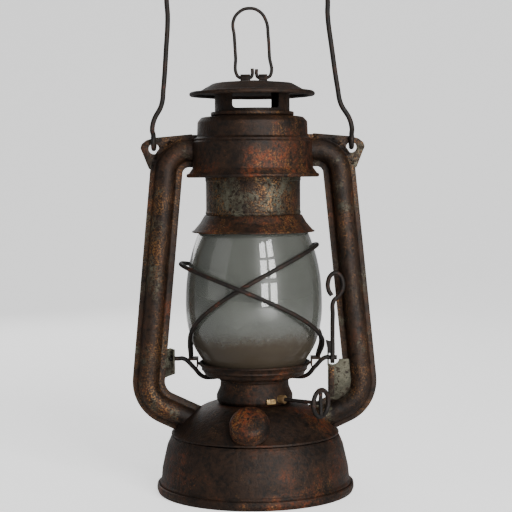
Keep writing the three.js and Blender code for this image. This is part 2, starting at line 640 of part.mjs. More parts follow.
const ventTop = HOOD_TOP_Z - VENT_DROP;
const sill = COLLAR_TOP_Z + WINDOW_SILL;
const windowShape = new THREE.Shape();
const windowReach = VENT_RADIUS * Math.sin(rad(WINDOW_SPAN / 2));
const corner = 2.5;
windowShape.moveTo(-windowReach, sill + corner);
windowShape.quadraticCurveTo(-windowReach, sill, -windowReach + corner, sill);
windowShape.lineTo(windowReach - corner, sill);
windowShape.quadraticCurveTo(windowReach, sill, windowReach, sill + corner);
windowShape.lineTo(windowReach, sill + WINDOW_HEIGHT);
windowShape.lineTo(-windowReach, sill + WINDOW_HEIGHT);
const windows = new THREE.ExtrudeGeometry(windowShape, {
  depth: 4 * VENT_RADIUS, bevelEnabled: false, curveSegments: 3,
});
windows.rotateX(Math.PI / 2).translate(0, 2 * VENT_RADIUS, 0).rotateZ(rad(WINDOW_TURN));
add('chimney_vent', cut(
  solid(ring(VENT_RADIUS - SHEET, VENT_RADIUS, CHIMNEY_TOP_Z + GAP, ventTop)),
  solid(windows),
), 'rust');

add('hood_cap', shell([
  [HOOD_RADIUS - 1.2, HOOD_Z - 1.2], [HOOD_RADIUS, HOOD_Z - 0.4], [HOOD_RADIUS - 0.3, HOOD_Z + 0.8],
  [HOOD_RADIUS * 0.83, HOOD_Z + 2.2], [HOOD_RADIUS * 0.63, HOOD_TOP_Z - 1.5], [0, HOOD_TOP_Z],
], SHEET * 0.75), 'rust');
add('hood_deflector', shell([
  [0, sill + 3.2], [VENT_RADIUS * 0.45, sill + 6.2], [VENT_RADIUS * 0.8, ventTop - 1.2],
], SHEET * 0.75, SMALL_ROUND), 'rust');

const loopRadius = LOOP_WIRE / 2;
const loopLeft = LOOP_SHIFT - LOOP_HALF_WIDTH;
const loopRight = LOOP_SHIFT + LOOP_HALF_WIDTH;
const loopMiddle = (loopLeft + loopRight) / 2 + 0.4;
const stubApart = LOOP_WIRE + 0.6;
const loopPin = (from, to, radius) => rod(point(from, 0, LOOP_Z), point(to, 0, LOOP_Z), radius, 12);
[-1, 1].forEach((side) => {
  const near = loopMiddle + side * (stubApart / 2 + loopRadius + GAP);
  const far = (side < 0 ? loopLeft : loopRight) - side * (loopRadius + GAP + 0.8);
  const footHigh = LOOP_Z - HOOD_TOP_Z - GAP;
  const foot = block(
    Math.abs(far - near), 2 * LUG_RADIUS + 2, footHigh,
    point((near + far) / 2, 0, HOOD_TOP_Z + GAP + footHigh / 2),
  );
  const name = side < 0 ? 'loop_lug_left' : 'loop_lug_right';
  add(name, cut(
    join(solid(foot), solid(loopPin(near, far, LUG_RADIUS))),
    solid(loopPin(near - side * 5, far + side * 5, loopRadius + RUN)),
  ), 'rust');
});

const loopTop = LOOP_Z + LOOP_HEIGHT;
const strand = (x, share) => point(x - LOOP_LEAN * share, 0, LOOP_Z + LOOP_HEIGHT * share);
const crown = (turn) => point(
  (loopLeft + loopRight) / 2 - LOOP_LEAN + LOOP_HALF_WIDTH * Math.cos(rad(turn)),
  0,
  loopTop - LOOP_HALF_WIDTH + LOOP_HALF_WIDTH * Math.sin(rad(turn)),
);
add('lift_loop', bar([
  point(loopMiddle - stubApart / 2, 0, LOOP_Z + 5.6), point(loopMiddle - stubApart / 2, 0, LOOP_Z + 1.6),
  point(loopMiddle - stubApart / 2 - 1, 0, LOOP_Z), point(loopLeft + 1.8, 0, LOOP_Z),
  point(loopLeft, 0, LOOP_Z + 1.6), strand(loopLeft, 0.3), strand(loopLeft, 0.6),
  crown(165), crown(125), crown(90), crown(55), crown(15),
  strand(loopRight, 0.6), strand(loopRight, 0.3), point(loopRight, 0, LOOP_Z + 1.6),
  point(loopRight - 1.8, 0, LOOP_Z), point(loopMiddle + stubApart / 2 + 1, 0, LOOP_Z),
  point(loopMiddle + stubApart / 2, 0, LOOP_Z + 1.6), point(loopMiddle + stubApart / 2, 0, LOOP_Z + 5.2),
], loopRadius, 50), 'wire');

// ---------------------------------------------------------------- drum

const drumOutline = [
  [DRUM_RADIUS + DRUM_FLARE, DRUM_Z], [DRUM_RADIUS + 1.2, DRUM_Z + 3.3], [DRUM_RADIUS, DRUM_Z + 5.3],
  [DRUM_RADIUS, DRUM_STEP_Z], [DRUM_RADIUS - DRUM_STEP, DRUM_STEP_Z + 0.4],
  [DRUM_RADIUS - DRUM_STEP, DRUM_TOP_Z - 3], [DRUM_RADIUS - 5.4, DRUM_TOP_Z - 0.9],
  [COLLAR_RADIUS, DRUM_TOP_Z],
];
const drumEye = VENT_RADIUS + 1;
const drumSpace = solid(spun([
  [0, DRUM_Z - 6], ...offset([[DRUM_RADIUS + DRUM_FLARE + 1, DRUM_Z - 6], ...drumOutline], -GAP),
  [0, DRUM_TOP_Z + GAP],
]));
add('drum', cut(
  solid(shell([...drumOutline, [drumEye, DRUM_TOP_Z]])),
  ...fountTubeSpaces,
), 'rust');
add('drum_collar', ring(drumEye, COLLAR_RADIUS, COLLAR_Z, COLLAR_TOP_Z), 'rust');

const springLow = CHIMNEY_TOP_Z + SPRING_WIRE / 2 + GAP;
const springHigh = DRUM_TOP_Z - SHEET - SPRING_WIRE / 2 - GAP;
const springRadius = VENT_RADIUS + SPRING_WIRE / 2 + 1.6;
const springPoints = Array.from({ length: SPRING_TURNS * 10 + 1 }, (_, i) => {
  const turn = (i / 10) * 2 * Math.PI;
  const z = springLow + ((springHigh - springLow) * i) / (SPRING_TURNS * 10);
  return point(springRadius * Math.cos(turn), springRadius * Math.sin(turn), z);
});
add('chimney_spring', bar(springPoints, SPRING_WIRE / 2, SPRING_TURNS * 12, 5), 'wire');

// ---------------------------------------------------------------- side tubes

// A tube's seam plate in the X-Z plane: a ribbon along the tube, and the ear for the bail.
function seamPlate(side, near, far) {
  const line = tubeLine(0);
  const across = line.map((p, i) => {
    const before = line[Math.max(i - 1, 0)];
    const after = line[Math.min(i + 1, line.length - 1)];
    const along = after.clone().sub(before).normalize();
    return new THREE.Vector2(-along.y, along.x);
  });
  const edge = (reach) => line.map((p, i) => p.clone().addScaledVector(across[i], reach));
  const outer = edge(TUBE_RADIUS + OUTER_FLANGE);
  const inner = edge(-Math.min(TUBE_RADIUS + INNER_FLANGE, TOP_BEND - 1)).reverse();
  const ribbon = [...outer, ...inner].map((p) => [side * p.x, p.y]);
  const { x, y: z } = topCorner;
  const ear = [
    [drumEnd.x, z - 2], [drumEnd.x, z + 10.6], [x + 7.7, z + 8], [x + 12.7, z + 6.5],
    [x + 15.6, z + 4.2], [x + 16.4, z + 1.6], [x + 15.2, z - 1], [x + 11.3, z - 11],
    [x + 1.5, z - 11], [x - 5, z - 2],
  ].map(([along, up]) => [side * along, up]);
  const holeFrom = point(side * holeX, -9, holeZ);
  const holeTo = point(side * holeX, 9, holeZ);
  const hole = rod(holeFrom, holeTo, EAR_HOLE_RADIUS, SMALL_ROUND);
  return cut(
    join(solid(plate(ribbon, near, far)), solid(plate(ear, near, far))),
    solid(hole),
    drumSpace,
    fountSpace,
  );
}

const holeX = topCorner.x + EAR_HOLE_OUT;
const holeZ = topCorner.y + EAR_HOLE_UP;
[[-1, 'left'], [1, 'right']].forEach(([side, name]) => {
  const tube = tubeSolid(side, TUBE_RADIUS, 0);
  const bore = tubeSolid(side, TUBE_RADIUS - SHEET, 1);
  [[-1, 'front'], [1, 'back']].forEach(([way, face]) => {
    const near = (way * GAP) / 2;
    const plateSolid = seamPlate(side, near, near + way * SHEET);
    const halfSpace = solid(block(400, 60, 900, point(0, near + way * 30, 0)));
    const half = cut(join(plateSolid, tube), bore).intersect(halfSpace);
    add(`${name}_tube_${face}`, half, 'tube');
  });
});

// ---------------------------------------------------------------- crank brackets and web

const crankRadius = CRANK_WIRE / 2;
const plateBack = GAP / 2 + SHEET + GAP;
const eyeHole = (side, x) => solid(rod(
  point(side * (x - 6), 0, PIVOT_Z),
  point(side * (x + 6), 0, PIVOT_Z),
  crankRadius + RUN,
  12,
));
const tubeSpace = (side) => tubeSolid(side, TUBE_RADIUS + GAP, 0);

const leftEarX = tubeX(PIVOT_Z) - LEFT_EYE_IN;
add('left_bracket', cut(
  join(
    solid(plate([
      [-leftEarX, PIVOT_Z - 9.5], [-leftEarX, PIVOT_Z + 5.3], [-leftEarX - 3, PIVOT_Z + 6.3],
      [-leftEarX - 9, PIVOT_Z + 4], [-leftEarX - 9, PIVOT_Z - 13],
    ], plateBack, plateBack + SHEET)),
    solid(block(SHEET, plateBack + SHEET + 4.5, 11,
      point(-leftEarX - SHEET / 2, (plateBack + SHEET - 4.5) / 2, PIVOT_Z))),
  ),
  eyeHole(-1, leftEarX),
  tubeSpace(-1),
), 'galvanised');

const rightEarX = tubeX(PIVOT_Z) - RIGHT_EYE_IN;
const webLow = footCorner.y - 0.7;
const eyeRadius = crankRadius + GAP + 2;
const leverX = rightEarX + SHEET + RUN + 1.6;
add('right_web', cut(
  join(
    solid(plate([
      [rightEarX, webLow], [rightEarX, PIVOT_Z - 0.7], [tubeX(PIVOT_Z), PIVOT_Z - 0.7],
      [tubeX(PIVOT_Z), webLow + 8], [footCorner.x - 8, webLow],
    ], -plateBack, -plateBack - SHEET)),
    solid(block(SHEET, plateBack + SHEET + 4.5, 11,
      point(rightEarX + SHEET / 2, -(plateBack + SHEET - 4.5) / 2, PIVOT_Z))),
  ),
  solid(rod(point(leverX, -6, PIVOT_Z), point(leverX, -0.4, PIVOT_Z), eyeRadius + RUN, SMALL_ROUND)),
  eyeHole(1, rightEarX),
  tubeSpace(1),
  fountSpace,
), 'galvanised');

const stripFront = -plateBack - SHEET - GAP;
add('lever_strip', cut(
  solid(plate([
    [rightEarX + 0.2, webLow + 2], [rightEarX + 1, PIVOT_Z - 6], [rightEarX + 4, PIVOT_Z - 5.2],
    [rightEarX + 3.8, webLow + 2],
  ], stripFront, stripFront - SHEET)),
  fountSpace,
), 'rust');

// ---------------------------------------------------------------- lift crank and lever

const crankLow = GALLERY_Z - GAP - crankRadius - 0.2;
function crankHalf(side, end) {
  const slope = rightEarX - 1.3;
  return [
    point(side * end, 0, PIVOT_Z), point(side * (slope + 3), 0, PIVOT_Z), point(side * slope, 0, PIVOT_Z),
    point(side * (slope - 6), 1.5, PIVOT_Z - 5.4), point(side * (slope - 11.2), 4.5, crankLow + 1.6),
    point(side * CRANK_SWEEP * Math.cos(rad(20)), CRANK_SWEEP * Math.sin(rad(20)), crankLow),
    point(side * CRANK_SWEEP * Math.cos(rad(50)), CRANK_SWEEP * Math.sin(rad(50)), crankLow),
  ];
}
const crankRight = rightEarX + SHEET + RUN + 4.4;
add('lift_crank', bar([
  ...crankHalf(-1, leftEarX + 3), point(0, CRANK_SWEEP, crankLow), ...crankHalf(1, crankRight).reverse(),
], crankRadius, 44), 'wire');

// The lever grips the end of the crank with an eye, and ends in a teardrop thumb loop.
const thumbZ = PIVOT_Z + LEVER_HEIGHT - THUMB_HEIGHT / 2 - crankRadius;
const leverBack = -(plateBack + crankRadius + GAP);
const thumbForward = -(TUBE_RADIUS + crankRadius + RUN);
const thumb = (turn) => point(
  leverX + 1.6 + (THUMB_WIDTH / 2 - crankRadius) * Math.sin(rad(turn)) * 1.1,
  thumbForward - 0.5 + 0.7 * Math.cos(rad(turn)),
  thumbZ - (THUMB_HEIGHT / 2) * Math.cos(rad(turn)),
);
const eyeFace = leverX - EYE_WIDTH / 2;
add('lift_lever', cut(
  join(
    solid(bar([
      point(leverX, leverBack, PIVOT_Z + 1), point(leverX, leverBack, PIVOT_Z + 12),
      point(leverX, thumbForward * 0.8, thumbZ - 18), point(leverX + 0.4, thumbForward, thumbZ - 10),
      ...[25, 65, 110, 150, 180, 210, 250, 295, 330].map(thumb),
    ], crankRadius, 34)),
    solid(rod(point(eyeFace, 0, PIVOT_Z), point(eyeFace + EYE_WIDTH, 0, PIVOT_Z), eyeRadius, SMALL_ROUND)),
    solid(plate([
      [leverX - 2.6, PIVOT_Z + 3], [leverX - 4.3, PIVOT_Z + 11.2], [leverX + 1.4, PIVOT_Z + 9.5],
      [leverX + 1.4, PIVOT_Z + 3],
    ], leverBack - 0.6, leverBack + 0.6)),
  ),
  solid(rod(point(eyeFace - 5, 0, PIVOT_Z), point(eyeFace + 8, 0, PIVOT_Z), crankRadius + GAP, 12)),
), 'wire');

// ---------------------------------------------------------------- bail

const hookZ = holeZ - EAR_HOLE_RADIUS + BAIL_WIRE / 2 + 1.4 + HOOK_RADIUS;
function bailHook(side) {
  const turns = [-60, -20, 20, 60, 100, 140, 180, 215];
  return turns.reverse().map((turn) => point(
    side * holeX,
    -HOOK_RADIUS * Math.cos(rad(turn)),
    hookZ - HOOK_RADIUS * Math.sin(rad(turn)),
  ));
}
function bailArm(side) {
  const spread = holeX - BAIL_DRAW_IN;
  return [
    [holeX + 0.6, 7], [holeX - 0.6, 12.7], [spread - 0.4, 22], [spread - 2, 31.6],
    [spread - 4.6, 55], [spread - 6.4, 74.9], [spread - 6.2, BAIL_ARM],
  ].map(([x, up]) => point(side * x + BAIL_SKEW * (up / BAIL_RISE), 0, hookZ + up));
}
const archHalf = bailArm(1).at(-1).x - BAIL_SKEW * (BAIL_ARM / BAIL_RISE);
const archPoints = [160, 135, 112, 90, 68, 45, 20].map((turn) => point(
  BAIL_SKEW + archHalf * Math.cos(rad(turn)),
  0,
  hookZ + BAIL_ARM + (BAIL_RISE - BAIL_ARM) * Math.sin(rad(turn)),
));
add('bail', bar([
  ...bailHook(-1), ...bailArm(-1), ...archPoints,
  ...bailArm(1).reverse(), ...bailHook(1).reverse(),
], BAIL_WIRE / 2, 84), 'wire');

export default lantern;
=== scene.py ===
"""Visual model of a small wick-fed tubular lantern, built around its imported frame.

Lengths in the outlines are millimetres; everything is turned into metres where a mesh is made.
The front is -Y, +X is the side with the lift lever, and +Z is up.
"""
import json
import math
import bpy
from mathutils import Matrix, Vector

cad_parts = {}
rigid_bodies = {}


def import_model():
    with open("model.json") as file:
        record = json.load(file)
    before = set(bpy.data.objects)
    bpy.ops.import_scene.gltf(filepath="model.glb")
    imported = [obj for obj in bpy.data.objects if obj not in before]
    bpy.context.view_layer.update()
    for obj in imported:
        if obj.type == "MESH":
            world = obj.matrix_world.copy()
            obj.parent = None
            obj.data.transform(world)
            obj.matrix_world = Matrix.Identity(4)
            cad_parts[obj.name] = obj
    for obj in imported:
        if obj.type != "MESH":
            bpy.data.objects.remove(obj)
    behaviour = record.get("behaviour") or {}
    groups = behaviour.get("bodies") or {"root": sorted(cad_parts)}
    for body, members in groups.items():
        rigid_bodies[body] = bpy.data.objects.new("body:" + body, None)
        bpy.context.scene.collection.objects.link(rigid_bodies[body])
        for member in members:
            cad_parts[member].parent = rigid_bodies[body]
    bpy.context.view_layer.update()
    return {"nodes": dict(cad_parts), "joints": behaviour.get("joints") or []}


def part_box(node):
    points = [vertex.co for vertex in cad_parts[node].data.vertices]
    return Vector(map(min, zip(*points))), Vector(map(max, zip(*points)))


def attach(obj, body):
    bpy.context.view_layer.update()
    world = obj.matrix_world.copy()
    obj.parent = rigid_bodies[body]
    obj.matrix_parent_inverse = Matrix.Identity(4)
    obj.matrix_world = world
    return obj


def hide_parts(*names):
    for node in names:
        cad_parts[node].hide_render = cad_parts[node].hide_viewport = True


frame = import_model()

from types import SimpleNamespace

import bpy
from mathutils import Quaternion, Vector

bl_info = {
    "name": "Tubular Lantern",
    "version": (1, 0, 0),
    "blender": (4, 5, 0),
    "location": "3D View > Sidebar > Lantern",
    "description": "Builds the looks of a small rusted oil lantern around its frame",
    "category": "Add Mesh",
}

MM = 0.001
ROUND_STEPS = 96
SMALL_STEPS = 48
SHEET = 0.8
SEAM_GAP = 0.15
TUBE_TOP_X, TUBE_TOP_Z = 51.4, 207.0      # corners of the tube's centre line
TUBE_FOOT_X, TUBE_FOOT_Z = 66.0, 55.7
TUBE_TOP_BEND, TUBE_FOOT_BEND = 14, 18
TUBE_FOOT_IN, TUBE_FOOT_SLOPE = 10.7, 25  # where the foot meets the dome, and its slope in degrees
TUBE_TUCK = 12                            # run past the dome, cut off flush with it
TUBE_RADIUS, FLANGE_OUT, FLANGE_IN = 6.5, 3.0, 3.6
EAR_HOLE_OUT, EAR_HOLE_UP, EAR_HOLE_RADIUS = 8.3, 1.3, 3.2
BUSH_OUT = 23.2                           # spindle bush from the lantern's axis
CONE_SLOT = (19, 4.8, 12)                 # cutter for the flame slot: along the wick, across it, up
DRUM_FLARE = 3.9
WINDOW_TURN, WINDOW_SPAN = 7, 76          # degrees
WINDOW_SILL, WINDOW_TALL = 1.7, 11
LOOP_SHIFT, LOOP_REACH, LOOP_LEAN = 1.1, 10.2, 2.2
BAIL_ARM, BAIL_SKEW = 85.9, -4
THUMB_TALL, THUMB_WIDE = 14.6, 11
LIP_RISE = 4                              # edge of the chimney inside the drum
SPIGOT_IN, SPIGOT_DOWN = 0.5, 1.2         # foot of the chimney's barrel, tucked inside the flare
CAMERA_LENS = 98.6
CAMERA_AWAY, CAMERA_X, CAMERA_Z = 850, 1.5, 191.5
CAMERA_AIM_Z, CAMERA_ROLL = 142.9, -0.5
PANE_SIZE, PANE_POWER = (0.25, 0.29), 4.4  # the window's panes: metres and watts
ROOM_LIGHT = 0.16


def extent(node):
    """A node's box in millimetres, with its radius about the lantern's axis."""
    low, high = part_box(node)
    return SimpleNamespace(
        left=low.x / MM, right=high.x / MM, front=low.y / MM, back=high.y / MM,
        low=low.z / MM, high=high.z / MM, r=high.x / MM,
        x=(low.x + high.x) / 2 / MM, y=(low.y + high.y) / 2 / MM, z=(low.z + high.z) / 2 / MM,
        tall=(high.z - low.z) / MM,
    )


FOUNT, SKIRT, DOME = extent("fount_bottom"), extent("fount_shell"), extent("air_dome")
CUP, GALLERY, GLOBE = extent("burner_cup"), extent("gallery_plate"), extent("globe")
FLARE, CYLINDER, VENT = extent("chimney_flare"), extent("chimney_cylinder"), extent("chimney_vent")
HOOD, DRUM, COLLAR = extent("hood_cap"), extent("drum"), extent("drum_collar")
CRANK, LEVER = extent("lift_crank"), extent("lift_lever")
BAIL, LOOP, KNOB = extent("bail"), extent("lift_loop"), extent("wick_knob")
CAP, NECK = extent("filler_cap"), extent("filler_neck")


def joint(name):
    """A joint's axis, and its pivot in millimetres where it has one."""
    row = next(row for row in frame["joints"] if row["name"] == name)
    pivot = Vector(row.get("pos_m") or (0, 0, 0)) / MM
    return SimpleNamespace(axis=Vector(row["axis"]).normalized(), pivot=pivot)


# ---------------------------------------------------------------- sizes and colours


class LanternSizes(bpy.types.PropertyGroup):
    """Sizes that the looks add to the frame."""

    bail_wire: bpy.props.FloatProperty(
        name="Bail wire", description="Thickness of the bail", default=3.0 * MM, unit="LENGTH")
    guard_wire: bpy.props.FloatProperty(
        name="Guard wire", description="Thickness of the guard wires", default=2.6 * MM, unit="LENGTH")
    crank_wire: bpy.props.FloatProperty(
        name="Crank wire", description="Thickness of the lift wire", default=2.7 * MM, unit="LENGTH")
    loop_wire: bpy.props.FloatProperty(
        name="Loop wire", description="Thickness of the top loop", default=2.0 * MM, unit="LENGTH")
    dents: bpy.props.FloatProperty(
        name="Dents", description="Depth of the shallow dents in the sheet", default=0.5 * MM, unit="LENGTH")
    pitting: bpy.props.FloatProperty(
        name="Pitting", description="Height of the rust pits", default=0.35 * MM, unit="LENGTH")


class LanternColours(bpy.types.PropertyGroup):
    """Colours that the finishes are mixed from."""

    soot: bpy.props.FloatVectorProperty(
        name="Soot", description="Darkest stain", default=(0.004, 0.0028, 0.002), subtype="COLOR")
    brown: bpy.props.FloatVectorProperty(
        name="Brown rust", description="Old dry rust", default=(0.0175, 0.0088, 0.0048), subtype="COLOR")
    orange: bpy.props.FloatVectorProperty(
        name="Orange rust", description="Fresh rust", default=(0.2, 0.036, 0.009), subtype="COLOR")
    gold: bpy.props.FloatVectorProperty(
        name="Gold", description="Yellowed lacquer", default=(0.22, 0.105, 0.036), subtype="COLOR")
    zinc: bpy.props.FloatVectorProperty(
        name="Zinc", description="Weathered zinc", default=(0.1, 0.094, 0.066), subtype="COLOR")
    glass: bpy.props.FloatVectorProperty(
        name="Globe", description="Dusty glass", default=(0.115, 0.12, 0.105), subtype="COLOR")


# ---------------------------------------------------------------- modelling tools


def deselect():
    if bpy.context.object and bpy.context.object.mode != "OBJECT":
        bpy.ops.object.mode_set(mode="OBJECT")
    bpy.ops.object.select_all(action="DESELECT")


def pick(piece):
    deselect()
    piece.select_set(True)
    bpy.context.view_layer.objects.active = piece


def modified(piece, kind, **settings):
    """Adds one modifier, sets it and applies it."""
    pick(piece)
    modifier = piece.modifiers.new(kind.title(), kind)
    for key, value in settings.items():
        setattr(modifier, key, value)
    bpy.ops.object.modifier_apply(modifier=modifier.name)
    return piece


def placed(piece):
    """Puts a piece's place and turn into its mesh."""
    pick(piece)
    bpy.ops.object.transform_apply(location=True, rotation=True, scale=True)
    return piece


def joined(name, pieces):
    """Joins pieces into the first one."""
    deselect()
    for piece in pieces:
        piece.select_set(True)
    bpy.context.view_layer.objects.active = pieces[0]
    if len(pieces) > 1:
        bpy.ops.object.join()
    pieces[0].name = name
    return pieces[0]


def smooth(piece, angle=40):
    pick(piece)
    bpy.ops.object.shade_smooth_by_angle(angle=math.radians(angle))
    return piece


def rounded(corners, closed=False, facets=5):
    """A line through (across, up[, fillet]) corners, with an arc at each corner that has a fillet."""
    line = []
    count = len(corners)
    for i, corner in enumerate(corners):
        here = Vector(corner[:2])
        fillet = corner[2] if len(corner) > 2 else 0
        inside = closed or 0 < i < count - 1
        if not fillet or not inside:
            line.append(here)
            continue
        before = (Vector(corners[i - 1][:2]) - here)
        after = (Vector(corners[(i + 1) % count][:2]) - here)
        half = before.angle(after) / 2
        reach = min(fillet / math.tan(half), before.length * 0.49, after.length * 0.49)
        start, end = here + before.normalized() * reach, here + after.normalized() * reach
        for step in range(facets + 1):
            t = step / facets
            line.append(start * (1 - t) ** 2 + here * 2 * t * (1 - t) + end * t ** 2)
    return line


def spaced(line, pitch):
    """The same line with no stretch longer than a pitch."""
    points = [line[0]]
    for start, end in zip(line, line[1:]):
        count = max(1, math.ceil((end - start).length / pitch))
        points.extend(start.lerp(end, (k + 1) / count) for k in range(count))
    return points


def turned(name, corners, wall=SHEET, steps=ROUND_STEPS, pitch=3.0, dent=True):
    """Sheet turned about Z from an outline of its outer face, drawn upwards; wall 0 makes a solid."""
    line = spaced(rounded(corners), pitch)
    deselect()
    bpy.ops.mesh.primitive_plane_add(size=MM)
    piece = bpy.context.object
    bpy.ops.object.mode_set(mode="EDIT")
    bpy.ops.mesh.select_all(action="SELECT")
    bpy.ops.mesh.merge(type="CENTER")
    bpy.ops.transform.translate(value=(line[0].x * MM, 0, line[0].y * MM))
    for start, end in zip(line, line[1:]):
        step = ((end.x - start.x) * MM, 0, (end.y - start.y) * MM)
        bpy.ops.mesh.extrude_vertices_move(TRANSFORM_OT_translate={"value": step})
    bpy.ops.mesh.select_all(action="SELECT")
    bpy.ops.mesh.spin(steps=steps, angle=2 * math.pi, center=(0, 0, 0), axis=(0, 0, 1))
    bpy.ops.mesh.select_all(action="SELECT")
    bpy.ops.mesh.remove_doubles(threshold=0.01 * MM)
    bpy.ops.mesh.normals_make_consistent(inside=False)
    bpy.ops.object.mode_set(mode="OBJECT")
    piece.name = name
    face_outwards(piece, line)
    if wall:
        modified(piece, "SOLIDIFY", thickness=wall * MM, offset=-1, use_even_offset=True)
        modified(piece, "BEVEL", width=wall * 0.3 * MM, segments=2, limit_method="ANGLE",
                 angle_limit=math.radians(50))
    if dent:
        dented(piece)
    return smooth(piece)


def face_outwards(piece, line):
    """Flips a turned skin whose faces look to the left of its outline."""
    start, end = max(zip(line, line[1:]), key=lambda pair: (pair[1] - pair[0]).length * pair[0].x)
    middle = (start + end) / 2
    right = Vector((end.y - start.y, start.x - end.x)).normalized()
    face = min(piece.data.polygons, key=lambda f: abs(Vector(f.center[:2]).length - middle.x * MM)
               + abs(f.center.z - middle.y * MM))
    out = Vector(face.center[:2]).normalized()
    flat = Vector((face.normal.x * out.x + face.normal.y * out.y, face.normal.z))
    if flat.dot(right) < 0:
        pick(piece)
        bpy.ops.object.mode_set(mode="EDIT")
        bpy.ops.mesh.select_all(action="SELECT")
        bpy.ops.mesh.flip_normals()
        bpy.ops.object.mode_set(mode="OBJECT")


def dented(piece, depth=None, size=0.03):
    """Shallow dents, the same each run, from a cloud texture in the lantern's own space."""
    texture = bpy.data.textures.get(f"dents_{size}") or bpy.data.textures.new(f"dents_{size}", "CLOUDS")
    texture.noise_scale = size
    texture.noise_depth = 1
    strength = depth if depth is not None else bpy.context.scene.lantern_sizes.dents
    return modified(piece, "DISPLACE", texture=texture, texture_coords="LOCAL",
                    strength=strength, mid_level=0.5)


def wire(name, points, thickness, closed=False, tidy=10):
    """A round wire along a smooth line through points in millimetres; thickness is in metres."""
    deselect()
    bpy.ops.curve.primitive_bezier_curve_add(location=(0, 0, 0))
    piece = bpy.context.object
    curve = piece.data
    curve.dimensions = "3D"
    curve.splines.remove(curve.splines[0])
    spline = curve.splines.new("BEZIER")
    spline.bezier_points.add(len(points) - 1)
    for knot, place in zip(spline.bezier_points, points):
        knot.co = Vector(place) * MM
        knot.handle_left_type = knot.handle_right_type = "AUTO"
    spline.use_cyclic_u = closed
    spline.resolution_u = tidy
    curve.bevel_depth = thickness / 2
    curve.bevel_resolution = 4
    curve.use_fill_caps = not closed
    pick(piece)
    bpy.ops.object.convert(target="MESH")
    piece = bpy.context.object
    piece.name = name
    bpy.ops.object.mode_set(mode="EDIT")
    bpy.ops.mesh.select_all(action="SELECT")
    bpy.ops.mesh.remove_doubles(threshold=0.001 * MM)
    bpy.ops.mesh.normals_make_consistent(inside=False)
    bpy.ops.object.mode_set(mode="OBJECT")
    return smooth(piece, 60)


def sheet_plate(name, outlines, near, far, edge=0.12):
    """A flat plate in the X-Z plane between two depths; the outlines after the first are holes."""
    deselect()
    bpy.ops.curve.primitive_bezier_curve_add(location=(0, 0, 0))
    piece = bpy.context.object
    curve = piece.data
    curve.dimensions = "2D"
    curve.fill_mode = "BOTH"
    curve.splines.remove(curve.splines[0])
    for outline in outlines:
        spline = curve.splines.new("POLY")
        spline.points.add(len(outline) - 1)
        for knot, place in zip(spline.points, outline):
            knot.co = (place[0] * MM, place[1] * MM, 0, 1)
        spline.use_cyclic_u = True
    curve.extrude = (abs(far - near) / 2 - edge) * MM
    curve.bevel_depth = edge * MM
    curve.offset = -edge * MM
    curve.bevel_resolution = 1
    pick(piece)
    bpy.ops.object.convert(target="MESH")
    piece = bpy.context.object
    piece.name = name
    piece.rotation_euler = (math.pi / 2, 0, 0)
    piece.location = (0, (near + far) / 2 * MM, 0)
    placed(piece)
    bpy.ops.object.mode_set(mode="EDIT")
    bpy.ops.mesh.select_all(action="SELECT")
    bpy.ops.mesh.remove_doubles(threshold=0.001 * MM)
    bpy.ops.mesh.normals_make_consistent(inside=False)
    bpy.ops.object.mode_set(mode="OBJECT")
    return smooth(piece)


def drum_shape(name, radius, length, at, along, steps=SMALL_STEPS, edge=0.2):
    """A short round bar with softened edges, centred at a place and lying along a direction."""
    deselect()
    bpy.ops.mesh.primitive_cylinder_add(vertices=steps, radius=radius * MM, depth=length * MM)
    piece = bpy.context.object
    piece.name = name
    piece.rotation_mode = "QUATERNION"
    piece.rotation_quaternion = Vector((0, 0, 1)).rotation_difference(Vector(along))
    piece.location = Vector(at) * MM
    placed(piece)
    modified(piece, "BEVEL", width=edge * MM, segments=2, limit_method="ANGLE",
             angle_limit=math.radians(50))
    return smooth(piece)


def circle(x, z, radius, count=24):
    return [(x + radius * math.cos(2 * math.pi * k / count), z + radius * math.sin(2 * math.pi * k / count))
            for k in range(count)]


def stands_for(piece, body, slot, finish, *nodes):
    """Rides a piece on a body with its finish, in place of the frame's own nodes."""
    piece.data.materials.clear()
    piece.data.materials.append(finish)
    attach(piece, body)
    if nodes:
        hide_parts(*nodes)
    return piece


# ---------------------------------------------------------------- material tools


class Signal:
    """A value on its way through a finish; an expression on it adds the Math nodes it needs."""

    def __init__(self, finish, socket):
        self.finish = finish
        self.socket = socket

    def math(self, operation, first, second=None):
        inputs = {0: first} if second is None else {0: first, 1: second}
        return self.finish.node("ShaderNodeMath", {"operation": operation}, inputs)

    def __add__(self, other):
        return self.math("ADD", self, other)

    def __radd__(self, other):
        return self.math("ADD", other, self)

    def __sub__(self, other):
        return self.math("SUBTRACT", self, other)

    def __rsub__(self, other):
        return self.math("SUBTRACT", other, self)

    def __mul__(self, other):
        return self.math("MULTIPLY", self, other)

    def __rmul__(self, other):
        return self.math("MULTIPLY", other, self)

    def __pow__(self, other):
        return self.math("POWER", self, other)


